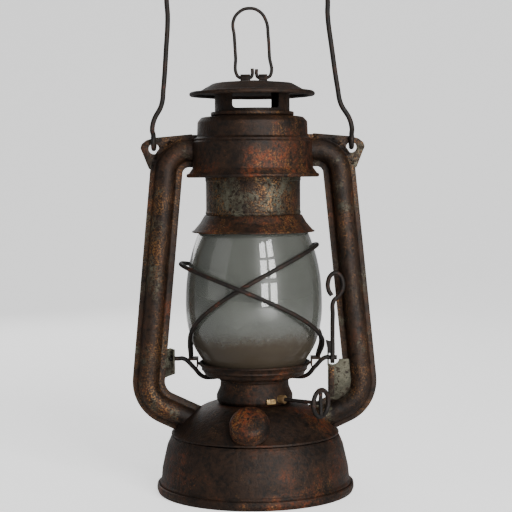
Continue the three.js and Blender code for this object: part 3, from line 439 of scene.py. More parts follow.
class Finish:
    """One material, with the patterns that a rusted sheet or wire is painted with."""

    def __init__(self, name):
        self.material = bpy.data.materials.new(name)
        self.material.use_nodes = True
        self.tree = self.material.node_tree
        self.tree.nodes.clear()
        self.place = self.node("ShaderNodeTexCoord", out="Object")

    def node(self, kind, settings=None, inputs=None, out=0):
        """Adds a node: its settings first, then its sockets, and returns one of its outputs, if any."""
        node = self.tree.nodes.new(kind)
        for key, value in (settings or {}).items():
            if key == "stops":
                self.set_ramp(node.color_ramp, value)
            else:
                setattr(node, key, value)
        for key, value in (inputs or {}).items():
            if isinstance(value, Signal):
                self.tree.links.new(value.socket, node.inputs[key])
            else:
                node.inputs[key].default_value = value
        return Signal(self, node.outputs[out]) if out is not None else None

    @staticmethod
    def set_ramp(ramp, stops):
        while len(ramp.elements) < len(stops):
            ramp.elements.new(0.5)
        for element, (position, shade) in zip(ramp.elements, stops):
            element.position = position
            element.color = (shade, shade, shade, 1)

    def shifted(self, offset=(0, 0, 0), scale=(1, 1, 1)):
        """The surface's place, moved by a seed and stretched."""
        return self.node("ShaderNodeMapping", {}, {"Vector": self.place, "Location": offset, "Scale": scale})

    def noise(self, scale, detail=4, rough=0.6, seed=0.0, stretch=(1, 1, 1), warp=0.0):
        return self.node("ShaderNodeTexNoise", {"noise_dimensions": "3D"}, {
            "Vector": self.shifted((seed, seed * 0.7, seed * 1.3), stretch),
            "Scale": scale, "Detail": detail, "Roughness": rough, "Distortion": warp})

    def mask(self, value, low, high):
        """0 below low, 1 above high, smooth between."""
        return self.node("ShaderNodeMapRange", {"interpolation_type": "SMOOTHSTEP"}, {
            "Value": value, "From Min": low, "From Max": high, "To Min": 0.0, "To Max": 1.0})

    def height(self, low, high):
        """A mask that rises between two heights in millimetres."""
        up = self.node("ShaderNodeSeparateXYZ", {}, {"Vector": self.place}, out="Z")
        return self.mask(up, low * MM, high * MM)

    def mix(self, first, second, amount, mode="MIX"):
        full = [value if isinstance(value, Signal) else (*value[:3], 1.0) for value in (first, second)]
        return self.node("ShaderNodeMix", {"data_type": "RGBA", "blend_type": mode},
                         {0: amount, 6: full[0], 7: full[1]}, out=2)

    def bump(self, value, depth, normal=None, strength=1.0):
        inputs = {"Height": value, "Distance": depth, "Strength": strength}
        if normal is not None:
            inputs["Normal"] = normal
        return self.node("ShaderNodeBump", {}, inputs)

    def surface(self, **inputs):
        """The Principled shader, with its sockets given by name in place of spaces underscores."""
        named = {key.replace("_", " "): value for key, value in inputs.items()}
        return self.node("ShaderNodeBsdfPrincipled", {}, named)

    def done(self, shader):
        self.node("ShaderNodeOutputMaterial", {}, {"Surface": shader}, out=None)
        return self.material


def colour(name):
    return tuple(getattr(bpy.context.scene.lantern_colours, name))


def rusted(name, seed, orange=0.5, gold=0.3, zinc=0.0, soot=0.5, grain=1.0, sheen=0.5):
    """Rusted sheet: brown scale, sooty stains, orange and gold grains, and zinc left in patches."""
    finish = Finish(name)
    cloud = finish.noise(24, 4, 0.6, seed, warp=0.3)
    patch = finish.noise(95, 6, 0.68, seed + 3, warp=0.5)
    speck = finish.noise(380 * grain, 4, 0.7, seed + 7)
    fleck = finish.noise(950 * grain, 3, 0.6, seed + 11)
    streak = finish.noise(70, 5, 0.65, seed + 15, stretch=(1, 1, 0.25))
    warm = tuple(c * 2.1 for c in colour("brown"))
    base = finish.mix(colour("brown"), warm, finish.mask(cloud * 0.4 + patch * 0.3 + speck * 0.3, 0.42, 0.62))
    base = finish.mix(base, colour("soot"), finish.mask(1 - speck * 0.6 - patch * 0.4, 0.48, 0.62) * 0.85)
    level = cloud * 0.5 + patch * 0.3 + fleck * 0.2
    bloom = finish.mask(level, 0.56 - orange * 0.12, 0.76 - orange * 0.12) * finish.mask(speck, 0.4, 0.62)
    base = finish.mix(base, colour("orange"), bloom)
    level = streak * 0.45 + cloud * 0.3 + fleck * 0.25
    shine = finish.mask(level, 0.56 - gold * 0.12, 0.72 - gold * 0.12) * finish.mask(fleck, 0.46, 0.6)
    base = finish.mix(base, colour("gold"), shine)
    bare = 0.0
    if zinc:
        left = finish.noise(52, 7, 0.7, seed + 21, warp=0.8)
        level = left * 0.5 + speck * 0.35 + streak * 0.15
        bare = finish.mask(level, 0.59 - zinc * 0.2, 0.66 - zinc * 0.2)
        dull = tuple(c * 0.5 for c in colour("zinc"))
        spangle = finish.mix(colour("zinc"), dull, finish.mask(patch, 0.4, 0.6))
        spangle = finish.mix(spangle, colour("brown"), finish.mask(speck, 0.52, 0.6) * 0.9)
        base = finish.mix(base, spangle, bare)
    stain = finish.mask(finish.noise(34, 6, 0.7, seed + 31), 0.6 - soot * 0.16, 0.76 - soot * 0.16)
    base = finish.mix(base, colour("soot"), stain * 0.7)
    scale_coat = patch * 0.35 + speck * 0.4 + fleck * 0.25
    depth = bpy.context.scene.lantern_sizes.pitting
    relief = finish.bump(scale_coat, depth * 2.6, strength=1.0)
    rough = 0.56 - sheen * 0.24 + speck * 0.25 - shine * 0.1
    metal = shine * 0.4 + bloom * 0.2 + 0.35
    if zinc:
        metal = metal + bare * 0.2
    return finish.done(finish.surface(
        Base_Color=base, Roughness=rough, Metallic=metal, Normal=relief, Specular_IOR_Level=0.3))


def wired(name, seed):
    """Dark rusted wire with bright rubbed spots."""
    finish = Finish(name)
    patch = finish.noise(120, 6, 0.7, seed)
    speck = finish.noise(700, 5, 0.7, seed + 5)
    base = finish.mix(colour("soot"), colour("brown"), finish.mask(patch * 0.6 + speck * 0.4, 0.42, 0.6))
    bloom = finish.mask(patch, 0.56, 0.7) * finish.mask(speck, 0.45, 0.6)
    base = finish.mix(base, colour("orange"), bloom * 0.6)
    depth = bpy.context.scene.lantern_sizes.pitting
    relief = finish.bump(speck * 0.6 + patch * 0.4, depth * 0.7, strength=0.8)
    return finish.done(finish.surface(
        Base_Color=base, Roughness=0.5 + speck * 0.3, Metallic=0.35 - bloom * 0.25, Normal=relief))


def tarnished(name, seed):
    """Brass gone brown, with dull yellow left on it."""
    finish = Finish(name)
    patch = finish.noise(90, 7, 0.7, seed)
    speck = finish.noise(600, 5, 0.7, seed + 5)
    worn = finish.mask(patch * 0.7 + speck * 0.3, 0.42, 0.6)
    base = finish.mix((0.12, 0.07, 0.03), (0.62, 0.42, 0.17), worn)
    depth = bpy.context.scene.lantern_sizes.pitting
    relief = finish.bump(speck, depth * 0.4, strength=0.6)
    return finish.done(finish.surface(
        Base_Color=base, Roughness=0.6 - worn * 0.25, Metallic=0.4 + worn * 0.5, Normal=relief))


def dusty_glass(name):
    """Old glass under a film of dust, browner and thicker towards the foot."""
    finish = Finish(name)
    film = finish.noise(30, 6, 0.65, 4.0, warp=0.6)
    grit = finish.noise(420, 5, 0.7, 9.0)
    smear = finish.noise(34, 5, 0.7, 14.0, stretch=(1, 1, 0.3), warp=1.0)
    low = 1 - finish.height(GLOBE.low + 4, GLOBE.low + GLOBE.tall * 0.46)
    soil = finish.mask(low * 0.6 + film * 0.35 + grit * 0.2, 0.36, 0.68)
    base = finish.mix(colour("glass"), (0.034, 0.023, 0.011), soil)
    spots = finish.mask(finish.noise(260, 4, 0.6, 21.0), 0.64, 0.7)
    base = finish.mix(base, (0.05, 0.035, 0.02), spots * 0.6)
    relief = finish.bump(smear, 0.2 * MM, strength=0.2)
    cover = 0.5 + soil * 0.4 + finish.mask(smear, 0.4, 0.7) * 0.12
    dust = finish.surface(Base_Color=base, Roughness=0.32 + soil * 0.5, Normal=relief,
                          IOR=1.5, Coat_Weight=1.0 - soil * 0.8, Coat_Roughness=0.04)
    clear = finish.surface(Base_Color=(0.8, 0.83, 0.78, 1.0), Roughness=0.08, Transmission_Weight=1.0,
                           IOR=1.2, Coat_Weight=0.8, Coat_Roughness=0.04)
    both = finish.node("ShaderNodeMixShader", {}, {0: cover, 1: clear, 2: dust})
    return finish.done(both)


def woven(name):
    """Flat cotton wick, charred at its top."""
    finish = Finish(name)
    weave = finish.node("ShaderNodeTexWave", {"wave_type": "BANDS", "bands_direction": "Z"}, {
        "Vector": finish.place, "Scale": 700.0, "Distortion": 1.5, "Detail": 2.0}, out="Fac")
    char = finish.height(extent("wick").high - 5, extent("wick").high - 1)
    base = finish.mix((0.6, 0.52, 0.36), (0.42, 0.34, 0.22), weave)
    base = finish.mix(base, (0.01, 0.009, 0.008), char)
    return finish.done(finish.surface(
        Base_Color=base, Roughness=0.95 - char * 0.05, Normal=finish.bump(weave, 0.2 * MM, strength=0.6)))


def cork(name):
    finish = Finish(name)
    grain = finish.noise(500, 6, 0.7, 2.0)
    base = finish.mix((0.16, 0.08, 0.035), (0.36, 0.22, 0.11), finish.mask(grain, 0.4, 0.6))
    return finish.done(finish.surface(
        Base_Color=base, Roughness=0.85 + grain * 0.1, Normal=finish.bump(grain, 0.2 * MM, strength=0.6)))


FINISHES = {
    "fount_rust": lambda name: rusted(name, 2.0, orange=0.62, gold=0.3, soot=0.4, sheen=0.55),
    "cap_rust": lambda name: rusted(name, 17.0, orange=0.75, gold=0.45, soot=0.45, sheen=0.5),
    "canopy_rust": lambda name: rusted(name, 31.0, orange=0.68, gold=0.55, soot=0.45, sheen=0.6),
    "hood_rust": lambda name: rusted(name, 44.0, orange=-0.5, gold=-0.4, soot=1.1, sheen=0.3),
    "gallery_rust": lambda name: rusted(name, 53.0, orange=0.45, gold=0.25, soot=0.6, sheen=0.4),
    "tube_rust": lambda name: rusted(name, 67.0, orange=0.35, gold=0.6, zinc=0.36, soot=0.45, sheen=0.65),
    "ear_zinc": lambda name: rusted(name, 71.0, orange=0.35, gold=0.3, zinc=0.95, soot=0.35, sheen=0.5),
    "galvanised": lambda name: rusted(name, 83.0, orange=0.3, gold=0.9, zinc=0.55, soot=0.4, sheen=0.6),
    "dark_wire": lambda name: wired(name, 5.0),
    "aged_brass": lambda name: tarnished(name, 9.0),
    "globe_glass": dusty_glass,
    "wick_cotton": woven,
    "cork": cork,
}


MADE = {}


def finish_of(name):
    """The finish of that name, made once."""
    if name not in MADE:
        MADE[name] = FINISHES[name](f"weathered_{name}")
    return MADE[name]


# ---------------------------------------------------------------- fount and burner


def dome_line(count=12):
    """The dome's outer face, from the fount's shoulder up to the foot of the cup."""
    foot, edge = DOME.low + 0.6, CUP.r + 0.6
    return [(DOME.r + (edge - DOME.r) * k / count,
             foot + (DOME.high - foot) * math.sin(k / count * math.pi / 2)) for k in range(count + 1)]


def build_fount():
    r = FOUNT.r
    pan = turned("fount_pan", [
        (0, 2.4), (r - 5.3, 2.4, 0.8), (r - 4.2, 0, 0.5), (r - 0.9, 0, 0.9), (r, 2.4, 1.6),
        (r - 0.2, 5.2, 1.0), (r - 1.3, FOUNT.high, 0.3), (r - 1.6, 3.3), (0, 3.3),
    ], wall=0, dent=False)
    stands_for(pan, "frame", "fount_rust", finish_of("fount_rust"), "fount_bottom")
    skirt = turned("fount_skirt", [
        (SKIRT.r, SKIRT.low), (SKIRT.r, 6.4, 0.8), (SKIRT.r - 0.9, 7.6, 1.2), (SKIRT.r - 1.6, 15, 9),
        (DOME.r + 2.9, SKIRT.high - 6, 9), (DOME.r + 0.9, SKIRT.high - 1.4, 0.8), (DOME.r, SKIRT.high),
    ])
    stands_for(skirt, "frame", "fount_rust", finish_of("fount_rust"), "fount_shell")
    line = dome_line()
    dome = turned("fount_dome", [
        (DOME.r - 0.9, DOME.low - 0.1), (DOME.r + 0.5, DOME.low + 0.1, 0.4),
        (DOME.r + 0.3, DOME.low + 1.2, 0.5),
        *[(x, z) for x, z in line[1:-1]], (CUP.r + 0.3, DOME.high - 0.1), (CUP.r - 3.2, DOME.high + 0.2),
    ])
    stands_for(dome, "frame", "fount_rust", finish_of("fount_rust"), "air_dome")


def build_filler():
    turn = joint("cap_turn")
    parts = []
    cap_r = (CAP.right - CAP.left) / 2
    ridges = []
    for k in range(4):
        ridges += [(cap_r - 0.9, 1.9 * k - 7.9, 0.5), (cap_r, 1.9 * k - 6.9, 0.7)]
    cap = turned("screw_cap", [
        (cap_r - 0.3, -8.6), *ridges, (cap_r - 0.7, 0.6, 0.6), (cap_r - 1.5, 2.4, 1.4),
        (cap_r * 0.7, 4.0, 3.0),
        (cap_r * 0.3, 4.9, 3.0), (0, 5.0),
    ], steps=64, pitch=1.5)
    parts.append((cap, "filler_cap", "cap_rust", ("filler_cap",)))
    neck_r = (NECK.right - NECK.left) / 2
    neck = turned("filler_spout", [
        (neck_r, -18.0), (neck_r, -11.2, 0.8), (neck_r + 2.2, -10.4, 0.8), (neck_r + 2.2, -9.6, 0.5),
        (neck_r, -9.2, 0.4), (neck_r, -0.4, 0.3), (neck_r - 0.5, 0),
    ], steps=64, pitch=2.0, dent=False)
    parts.append((neck, "frame", "fount_rust", ("filler_neck",)))
    for piece, body, slot, nodes in parts:
        piece.rotation_mode = "QUATERNION"
        piece.rotation_quaternion = Vector((0, 0, 1)).rotation_difference(turn.axis)
        piece.location = turn.pivot * MM
        placed(piece)
        stands_for(piece, body, slot, finish_of(slot), *nodes)


def build_burner():
    cup = turned("burner_housing", [
        (CUP.r - 1.6, CUP.low), (CUP.r, CUP.low + 1.8, 2.0), (CUP.r, CUP.low + 4.9, 2.5),
        (CUP.r - 2.2, CUP.high - 5.6, 3.0), (CUP.r - 2.6, CUP.high - 2.2, 0.6),
        (CUP.r - 1.9, CUP.high - 1.4, 0.5), (CUP.r - 2.5, CUP.high),
    ], pitch=1.6)
    stands_for(cup, "frame", "fount_rust", finish_of("gallery_rust"), "burner_cup")
    cone = extent("burner_cone")
    dome = turned("burner_dome", [
        (cone.r, cone.low), (cone.r, cone.low + 13.5, 2.5), (cone.r * 0.9, cone.high - 5.4, 3),
        (cone.r * 0.5, cone.high - 0.9, 5), (0, cone.high),
    ], steps=64, dent=False)
    turn = joint("wick_turn")
    deselect()
    bpy.ops.mesh.primitive_cube_add(size=1)
    slot = bpy.context.object
    slot.scale = tuple(length * MM for length in CONE_SLOT)
    slot.rotation_euler.z = math.atan2(turn.axis.y, turn.axis.x)
    slot.location = (0, 0, (cone.high + 1) * MM)
    placed(slot)
    modified(dome, "BOOLEAN", object=slot, operation="DIFFERENCE", solver="EXACT")
    bpy.data.objects.remove(slot)
    stands_for(smooth(dome), "frame", "aged_brass", finish_of("aged_brass"), "burner_cone")
    bush_at = turn.pivot + turn.axis * BUSH_OUT
    bush = drum_shape("spindle_collar", 2.5, 5.4, bush_at, turn.axis)
    stands_for(bush, "frame", "aged_brass", finish_of("aged_brass"), "spindle_bush")
    tab_box = extent("burner_lock_tab")
    tab_turn = math.atan2(tab_box.y, tab_box.x) + math.pi / 2
    tab = sheet_plate("lock_tab", [rounded(
        [(-2.9, -1.5, 0.5), (2.9, -1.5, 0.5), (2.9, 1.5, 0.8), (-2.9, 1.5, 0.8)], closed=True)], -0.4, 0.4)
    tab.location = (tab_box.x * MM, tab_box.y * MM, tab_box.z * MM)
    tab.rotation_euler.z = tab_turn
    placed(tab)
    stands_for(tab, "frame", "aged_brass", finish_of("aged_brass"), "burner_lock_tab")


def build_wick_gear():
    sizes = bpy.context.scene.lantern_sizes
    turn = joint("wick_turn")
    centre = Vector((KNOB.x, KNOB.y, KNOB.z))
    reach = (centre - turn.pivot).dot(turn.axis)
    middle = turn.pivot + turn.axis * (reach / 2 - 5.2)
    spindle = drum_shape("spindle_rod", 1.15, reach + 8.4, middle, turn.axis, steps=24)
    stands_for(spindle, "wick_gear", "dark_wire", finish_of("dark_wire"), "wick_spindle")
    ring_radius = KNOB.tall / 2 - sizes.crank_wire / 2 / MM
    up = Vector((0, 0, 1))
    side = turn.axis.cross(up).normalized()
    hoop = [centre + side * ring_radius * math.sin(a) - up * ring_radius * math.cos(a)
            for a in (k * math.pi / 6 for k in range(12))]
    ring = wire("knob_ring", hoop, sizes.crank_wire, closed=True)
    spoke = wire("knob_spoke", [centre - up * ring_radius, centre + side * 0.3, centre + up * ring_radius],
                 sizes.crank_wire * 0.85)
    knob = joined("knob_loop", [ring, spoke])
    stands_for(knob, "wick_gear", "dark_wire", finish_of("dark_wire"), "wick_knob")


# ---------------------------------------------------------------- globe and cage


def flowing(knots, count):
    """A smooth line through knots, evenly sampled between each two."""
    line = []
    ends = [knots[0] * 2 - knots[1], *knots, knots[-1] * 2 - knots[-2]]
    for a, b, c, d in zip(ends, ends[1:], ends[2:], ends[3:]):
        for k in range(count):
            t = k / count
            line.append(0.5 * (2 * b + (c - a) * t + (2 * a - 5 * b + 4 * c - d) * t ** 2
                               + (3 * b - a - 3 * c + d) * t ** 3))
    return [*line, knots[-1]]


def glass_line():
    """The globe's outer face as (radius, height) points, from its foot to its top."""
    foot, top, belly = 29.0, 29.5, GLOBE.r
    shares = [(foot, 0, 0), (foot, 0.1, 0.06), (foot, 0.66, 0.19), (foot, 0.94, 0.33), (top, 1, 0.46),
              (top, 0.93, 0.62), (top, 0.7, 0.77), (top, 0.35, 0.9), (top, 0, 1)]
    knots = [Vector((end + (belly - end) * out, GLOBE.low + GLOBE.tall * up)) for end, out, up in shares]
    return flowing(knots, 6)


def glass_radius(z):
    line = glass_line()
    for start, end in zip(line, line[1:]):
        if start.y <= z <= end.y:
            return start.x + (end.x - start.x) * (z - start.y) / (end.y - start.y)
    return line[-1].x


def build_gallery():
    r, low, high = GALLERY.r, GALLERY.low, GALLERY.high
    dish = turned("globe_dish", [
        (20.4, low), (24.4, low, 0.6), (25.6, low + 1.2, 0.6), (30.0, low + 1.2, 1.0),
        (31.0, low + 3.4, 1.0), (32.2, low + 4.6, 0.5), (32.0, low + 5.4, 0.4), (33.0, low + 7.0, 0.6),
        (r, high - 0.4, 0.4), (r - 0.2, high),
    ], pitch=1.4, dent=False)
    deselect()
    bpy.ops.mesh.primitive_torus_add(major_radius=(r - 0.5) * MM, minor_radius=0.75 * MM,
                                     major_segments=ROUND_STEPS, minor_segments=12,
                                     location=(0, 0, (high - 0.5) * MM))
    rim = placed(bpy.context.object)
    piece = smooth(dented(joined("globe_dish", [dish, rim]), 0.3 * MM))
    stands_for(piece, "globe_carrier", "gallery_rust", finish_of("gallery_rust"), "gallery_plate")
    for node in ("gallery_ear_left", "gallery_ear_right"):
        own_finish(node, "gallery_rust")


def build_globe():
    glass = turned("glass_globe", [tuple(p) for p in glass_line()], wall=2.2, dent=False, pitch=4)
    stands_for(glass, "globe_carrier", "globe_glass", finish_of("globe_glass"), "globe")


def guard_points(side, rise, standoff, ear_x, ear_z, spread):
    """A wire that climbs from an ear round the front of the glass and back round the rear."""
    climb = []
    for k in range(1, 24):
        turn = k / 24 * 2 * math.pi
        z = ear_z + 3 + (rise - 3) * math.sin(turn / 2)
        reach = max(ear_x, glass_radius(z) + standoff)
        climb.append(Vector((side * reach * math.cos(turn), -side * reach * math.sin(turn), z)))
    start = Vector((side * ear_x, -side * spread, ear_z + 1.9))
    end = Vector((side * ear_x, side * spread, ear_z + 1.9))
    return [start, *climb, end]


def build_guards():
    sizes = bpy.context.scene.lantern_sizes
    thick = sizes.guard_wire / MM
    ear = extent("gallery_ear_right")
    ear_x, ear_z = ear.right - thick / 2 - 0.2, ear.high - 1.2
    for letter, side, rise, standoff in (("a", -1, 69.5, 2.2), ("b", 1, 58.5, 5.1)):
        points = guard_points(side, rise, standoff, ear_x, ear_z, thick + 0.6)
        guard = wire(f"cage_wire_{letter}", points, sizes.guard_wire, tidy=6)
        stands_for(guard, "globe_carrier", "dark_wire", finish_of("dark_wire"), f"guard_wire_{letter}")


# ---------------------------------------------------------------- chimney, hood and top loop


def own_finish(node, finish):
    """Gives a frame node its finish in its own material slots."""
    for slot in frame["nodes"][node].material_slots:
        slot.material = finish_of(finish)


def softened(name, node, body, slot, finish, edge=0.2):
    """A cleaned copy of a small flat node, with its sheet edges rounded over."""
    pick(frame["nodes"][node])
    bpy.ops.object.duplicate()
    piece = bpy.context.object
    for key in [key for key in piece.keys() if key.startswith("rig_")]:
        del piece[key]
    bpy.ops.object.parent_clear(type="CLEAR_KEEP_TRANSFORM")
    piece.name = name
    bpy.ops.object.mode_set(mode="EDIT")
    bpy.ops.mesh.select_all(action="SELECT")
    bpy.ops.mesh.remove_doubles(threshold=0.002 * MM)
    bpy.ops.mesh.dissolve_limited(angle_limit=math.radians(1))
    bpy.ops.object.mode_set(mode="OBJECT")
    modified(piece, "BEVEL", width=edge * MM, segments=2, limit_method="ANGLE",
             angle_limit=math.radians(40))
    modified(piece, "TRIANGULATE")
    return stands_for(smooth(piece), body, slot, finish_of(finish), node)


def bead(radius, z, thick):
    """A rolled edge: a ring of round section about the lantern's axis."""
    deselect()
    bpy.ops.mesh.primitive_torus_add(
        major_radius=(radius - thick) * MM, minor_radius=thick * MM, location=(0, 0, z * MM),
        major_segments=ROUND_STEPS, minor_segments=16)
    return placed(bpy.context.object)


def build_chimney():
    r = CYLINDER.r
    flare = turned("flare_skirt", [
        (FLARE.r - 0.3, FLARE.low + 0.5), (FLARE.r - 1.4, FLARE.low + 1.6, 0.8),
        (r + 3.2, FLARE.low + 6.0, 1.5), (r + 0.5, FLARE.high),
    ], wall=0.6, pitch=1.6)
    flare = smooth(joined("flare_skirt", [flare, bead(FLARE.r, FLARE.low + 0.6, 0.55)]))
    stands_for(flare, "chimney", "canopy_rust", finish_of("canopy_rust"), "chimney_flare")
    barrel = turned("chimney_barrel", [
        (r - SPIGOT_IN, CYLINDER.low - SPIGOT_DOWN), (r - SPIGOT_IN, CYLINDER.low - 0.1, 0.1),
        (r, CYLINDER.low + 0.3, 0.1),
        (r, CYLINDER.low + 1.6, 0.5), (r - 0.35, CYLINDER.low + 2.1, 0.5),
        (r - 0.35, CYLINDER.high - 2.6, 0.5), (r, CYLINDER.high - 2.1, 0.5), (r, CYLINDER.high + LIP_RISE),
    ], wall=0.6)
    shelf = turned("chimney_shelf", [(r - 0.8, CYLINDER.high), (VENT.r + 0.4, CYLINDER.high)],
                   wall=0.6, dent=False)
    barrel = joined("chimney_barrel", [barrel, shelf])
    stands_for(barrel, "chimney", "galvanised", finish_of("galvanised"), "chimney_cylinder")
    neck = turned("vent_neck", [(VENT.r, VENT.low), (VENT.r, VENT.high)], dent=False)
    sill, head = COLLAR.high + WINDOW_SILL, COLLAR.high + WINDOW_SILL + WINDOW_TALL
    half = VENT.r * math.sin(math.radians(WINDOW_SPAN / 2))
    hole = sheet_plate("window_tool", [rounded([
        (-half, sill, 2.5), (half, sill, 2.5), (half, head), (-half, head)], closed=True)],
        -40, 40, edge=0.01)
    hole.rotation_euler.z = math.radians(WINDOW_TURN)
    placed(hole)
    modified(neck, "BOOLEAN", object=hole, operation="DIFFERENCE", solver="EXACT")
    bpy.data.objects.remove(hole)
    stands_for(smooth(neck), "chimney", "canopy_rust", finish_of("hood_rust"), "chimney_vent")


def build_hood():
    r, low, high = HOOD.r, HOOD.low, HOOD.high
    cap = turned("hood_canopy", [
        (r - 1.9, low + 2.2), (r * 0.83, low + 3.4, 2.0), (r * 0.63, high - 1.3, 3.0),
        (r * 0.35, high - 0.4, 3.0), (0, high),
    ], wall=0.6, dent=False)
    cap = joined("hood_canopy", [cap, bead(r, low + 1.4, 1.35)])
    cap = smooth(dented(cap, 0.9 * MM, 0.022))
    stands_for(cap, "chimney", "canopy_rust", finish_of("hood_rust"), "hood_cap")
    plate = extent("hood_deflector")
    shield = turned("smoke_shield", [
        (0, plate.high - 2.4), (plate.r * 0.5, plate.high - 1.7, 2.0), (plate.r, plate.high - 0.2)],
        wall=0.6, steps=64, dent=False)
    stands_for(shield, "chimney", "canopy_rust", finish_of("hood_rust"), "hood_deflector")
    for side in ("left", "right"):
        softened(f"loop_strap_{side}", f"loop_lug_{side}", "chimney", "canopy_rust", "hood_rust", 0.15)


def build_top_loop():
    pivot = joint("loop_swing").pivot.z
    thick = bpy.context.scene.lantern_sizes.loop_wire / MM
    left, right = LOOP_SHIFT - LOOP_REACH, LOOP_SHIFT + LOOP_REACH
    middle, apart = LOOP_SHIFT + 0.4, thick / 2 + 0.3
    top = LOOP.high - thick / 2

    def strand(x, share):
        return (x - LOOP_LEAN * share, 0, pivot + (top - pivot) * share)

    def crown(turn):
        turn = math.radians(turn)
        return (LOOP_SHIFT - LOOP_LEAN + LOOP_REACH * math.cos(turn), 0,
                top - LOOP_REACH + LOOP_REACH * math.sin(turn))

    points = [
        (middle - apart, 0, pivot + 5.4), (middle - apart, 0, pivot + 1.8), (middle - apart - 1, 0, pivot),
        (left + 1.8, 0, pivot), (left, 0, pivot + 1.6), strand(left, 0.3), strand(left, 0.6),
        crown(165), crown(125), crown(90), crown(55), crown(15),
        strand(right, 0.6), strand(right, 0.3), (right, 0, pivot + 1.6), (right - 1.8, 0, pivot),
        (middle + apart + 1, 0, pivot), (middle + apart, 0, pivot + 1.8), (middle + apart, 0, pivot + 5.0),
    ]
    loop = wire("finger_loop", points, bpy.context.scene.lantern_sizes.loop_wire)
    stands_for(loop, "top_loop", "dark_wire", finish_of("dark_wire"), "lift_loop")


# ---------------------------------------------------------------- drum and side tubes


def build_drum():
    r, low, high = DRUM.r - DRUM_FLARE, DRUM.low, DRUM.high
    body = turned("air_drum", [
        (DRUM.r - 0.8, low + 1.2), (r + 2.2, low + 2.4, 0.8), (r + 0.3, low + 5.0, 1.6), (r, low + 7.5, 1.5),
        (r, high - 15.6, 0.8), (r - 0.9, high - 14.6, 0.5), (r - 0.7, high - 13.6, 0.5),
        (r - 2.7, high - 12.4, 0.8), (r - 3.1, high - 3.4, 2.0), (r - 5.4, high - 0.8, 1.5),
        (COLLAR.r, high, 0.5), (VENT.r + 1, high),
    ], pitch=1.5)
    body = smooth(joined("air_drum", [body, bead(DRUM.r, low + 0.7, 1.25)]))
    stands_for(body, "frame", "canopy_rust", finish_of("canopy_rust"), "drum")
    collar = turned("drum_ring", [
        (VENT.r + 1, COLLAR.low), (COLLAR.r, COLLAR.low, 0.5), (COLLAR.r, COLLAR.high, 0.8),
        (VENT.r + 1.1, COLLAR.high, 0.3), (VENT.r + 1, COLLAR.low),
    ], wall=0, dent=False, pitch=1)
    stands_for(collar, "frame", "canopy_rust", finish_of("canopy_rust"), "drum_collar")
    own_finish("chimney_spring", "dark_wire")


def corner_arc(before, corner, after, radius, count):
    """Points round a corner, on an arc that touches both legs."""
    into, out = (before - corner).normalized(), (after - corner).normalized()
    half = into.angle(out) / 2
    centre = corner + (into + out).normalized() * (radius / math.sin(half))
    start = corner + into * (radius / math.tan(half)) - centre
    end = corner + out * (radius / math.tan(half)) - centre
    sweep = math.pi - 2 * half
    sign = 1 if start.x * end.y - start.y * end.x > 0 else -1
    line = []
    for k in range(count + 1):
        a = sign * sweep * k / count
        line.append(centre + Vector((start.x * math.cos(a) - start.y * math.sin(a),
                                     start.x * math.sin(a) + start.y * math.cos(a))))
    return line


def tube_line():
    """The right tube's centre line in the X-Z plane, from the drum down to the dome."""
    top = Vector((TUBE_TOP_X, TUBE_TOP_Z))
    foot = Vector((TUBE_FOOT_X, TUBE_FOOT_Z))
    start = Vector((DRUM.r - DRUM_FLARE - 3, TUBE_TOP_Z))
    drop = (TUBE_FOOT_X - DOME.r + TUBE_FOOT_IN) * math.tan(math.radians(TUBE_FOOT_SLOPE))
    end = Vector((DOME.r - TUBE_FOOT_IN, TUBE_FOOT_Z - drop))
    upper = corner_arc(start, top, foot, TUBE_TOP_BEND, 14)
    lower = corner_arc(top, foot, end, TUBE_FOOT_BEND, 14)
    return spaced([start, *upper, *lower, end + (end - lower[-1]).normalized() * TUBE_TUCK], 4)


def tube_section(radius=TUBE_RADIUS, outer=FLANGE_OUT, inner=FLANGE_IN, near=SEAM_GAP, steps=18):
    """One pressed half of a tube, cut across: a half round with a seam flange on each side."""
    far = near + SHEET
    lean = math.asin((far + 0.5) / radius)
    hollow = radius - SHEET
    inside = math.asin(near / hollow)
    line = [(-radius - outer, far - 0.1), (-radius - outer + 0.1, far), (-radius - 0.5, far)]
    for k in range(steps + 1):
        a = math.pi - lean - (math.pi - 2 * lean) * k / steps
        line.append((radius * math.cos(a), radius * math.sin(a)))
    line += [(radius + 0.5, far), (radius + inner - 0.1, far), (radius + inner, far - 0.1),
             (radius + inner, near)]
    for k in range(steps + 1):
        a = inside + (math.pi - 2 * inside) * k / steps
        line.append((hollow * math.cos(a), hollow * math.sin(a)))
    return [*line, (-radius - outer, near)]


def poly_curve(name, line, closed):
    """A flat curve through points in millimetres."""
    deselect()
    bpy.ops.curve.primitive_bezier_curve_add(location=(0, 0, 0))
    piece = bpy.context.object
    piece.name = name
    curve = piece.data
    curve.dimensions = "2D"
    curve.splines.remove(curve.splines[0])
    spline = curve.splines.new("POLY")
    spline.points.add(len(line) - 1)
    for knot, place in zip(spline.points, line):
        knot.co = (place[0] * MM, place[1] * MM, 0, 1)
    spline.use_cyclic_u = closed
    return piece


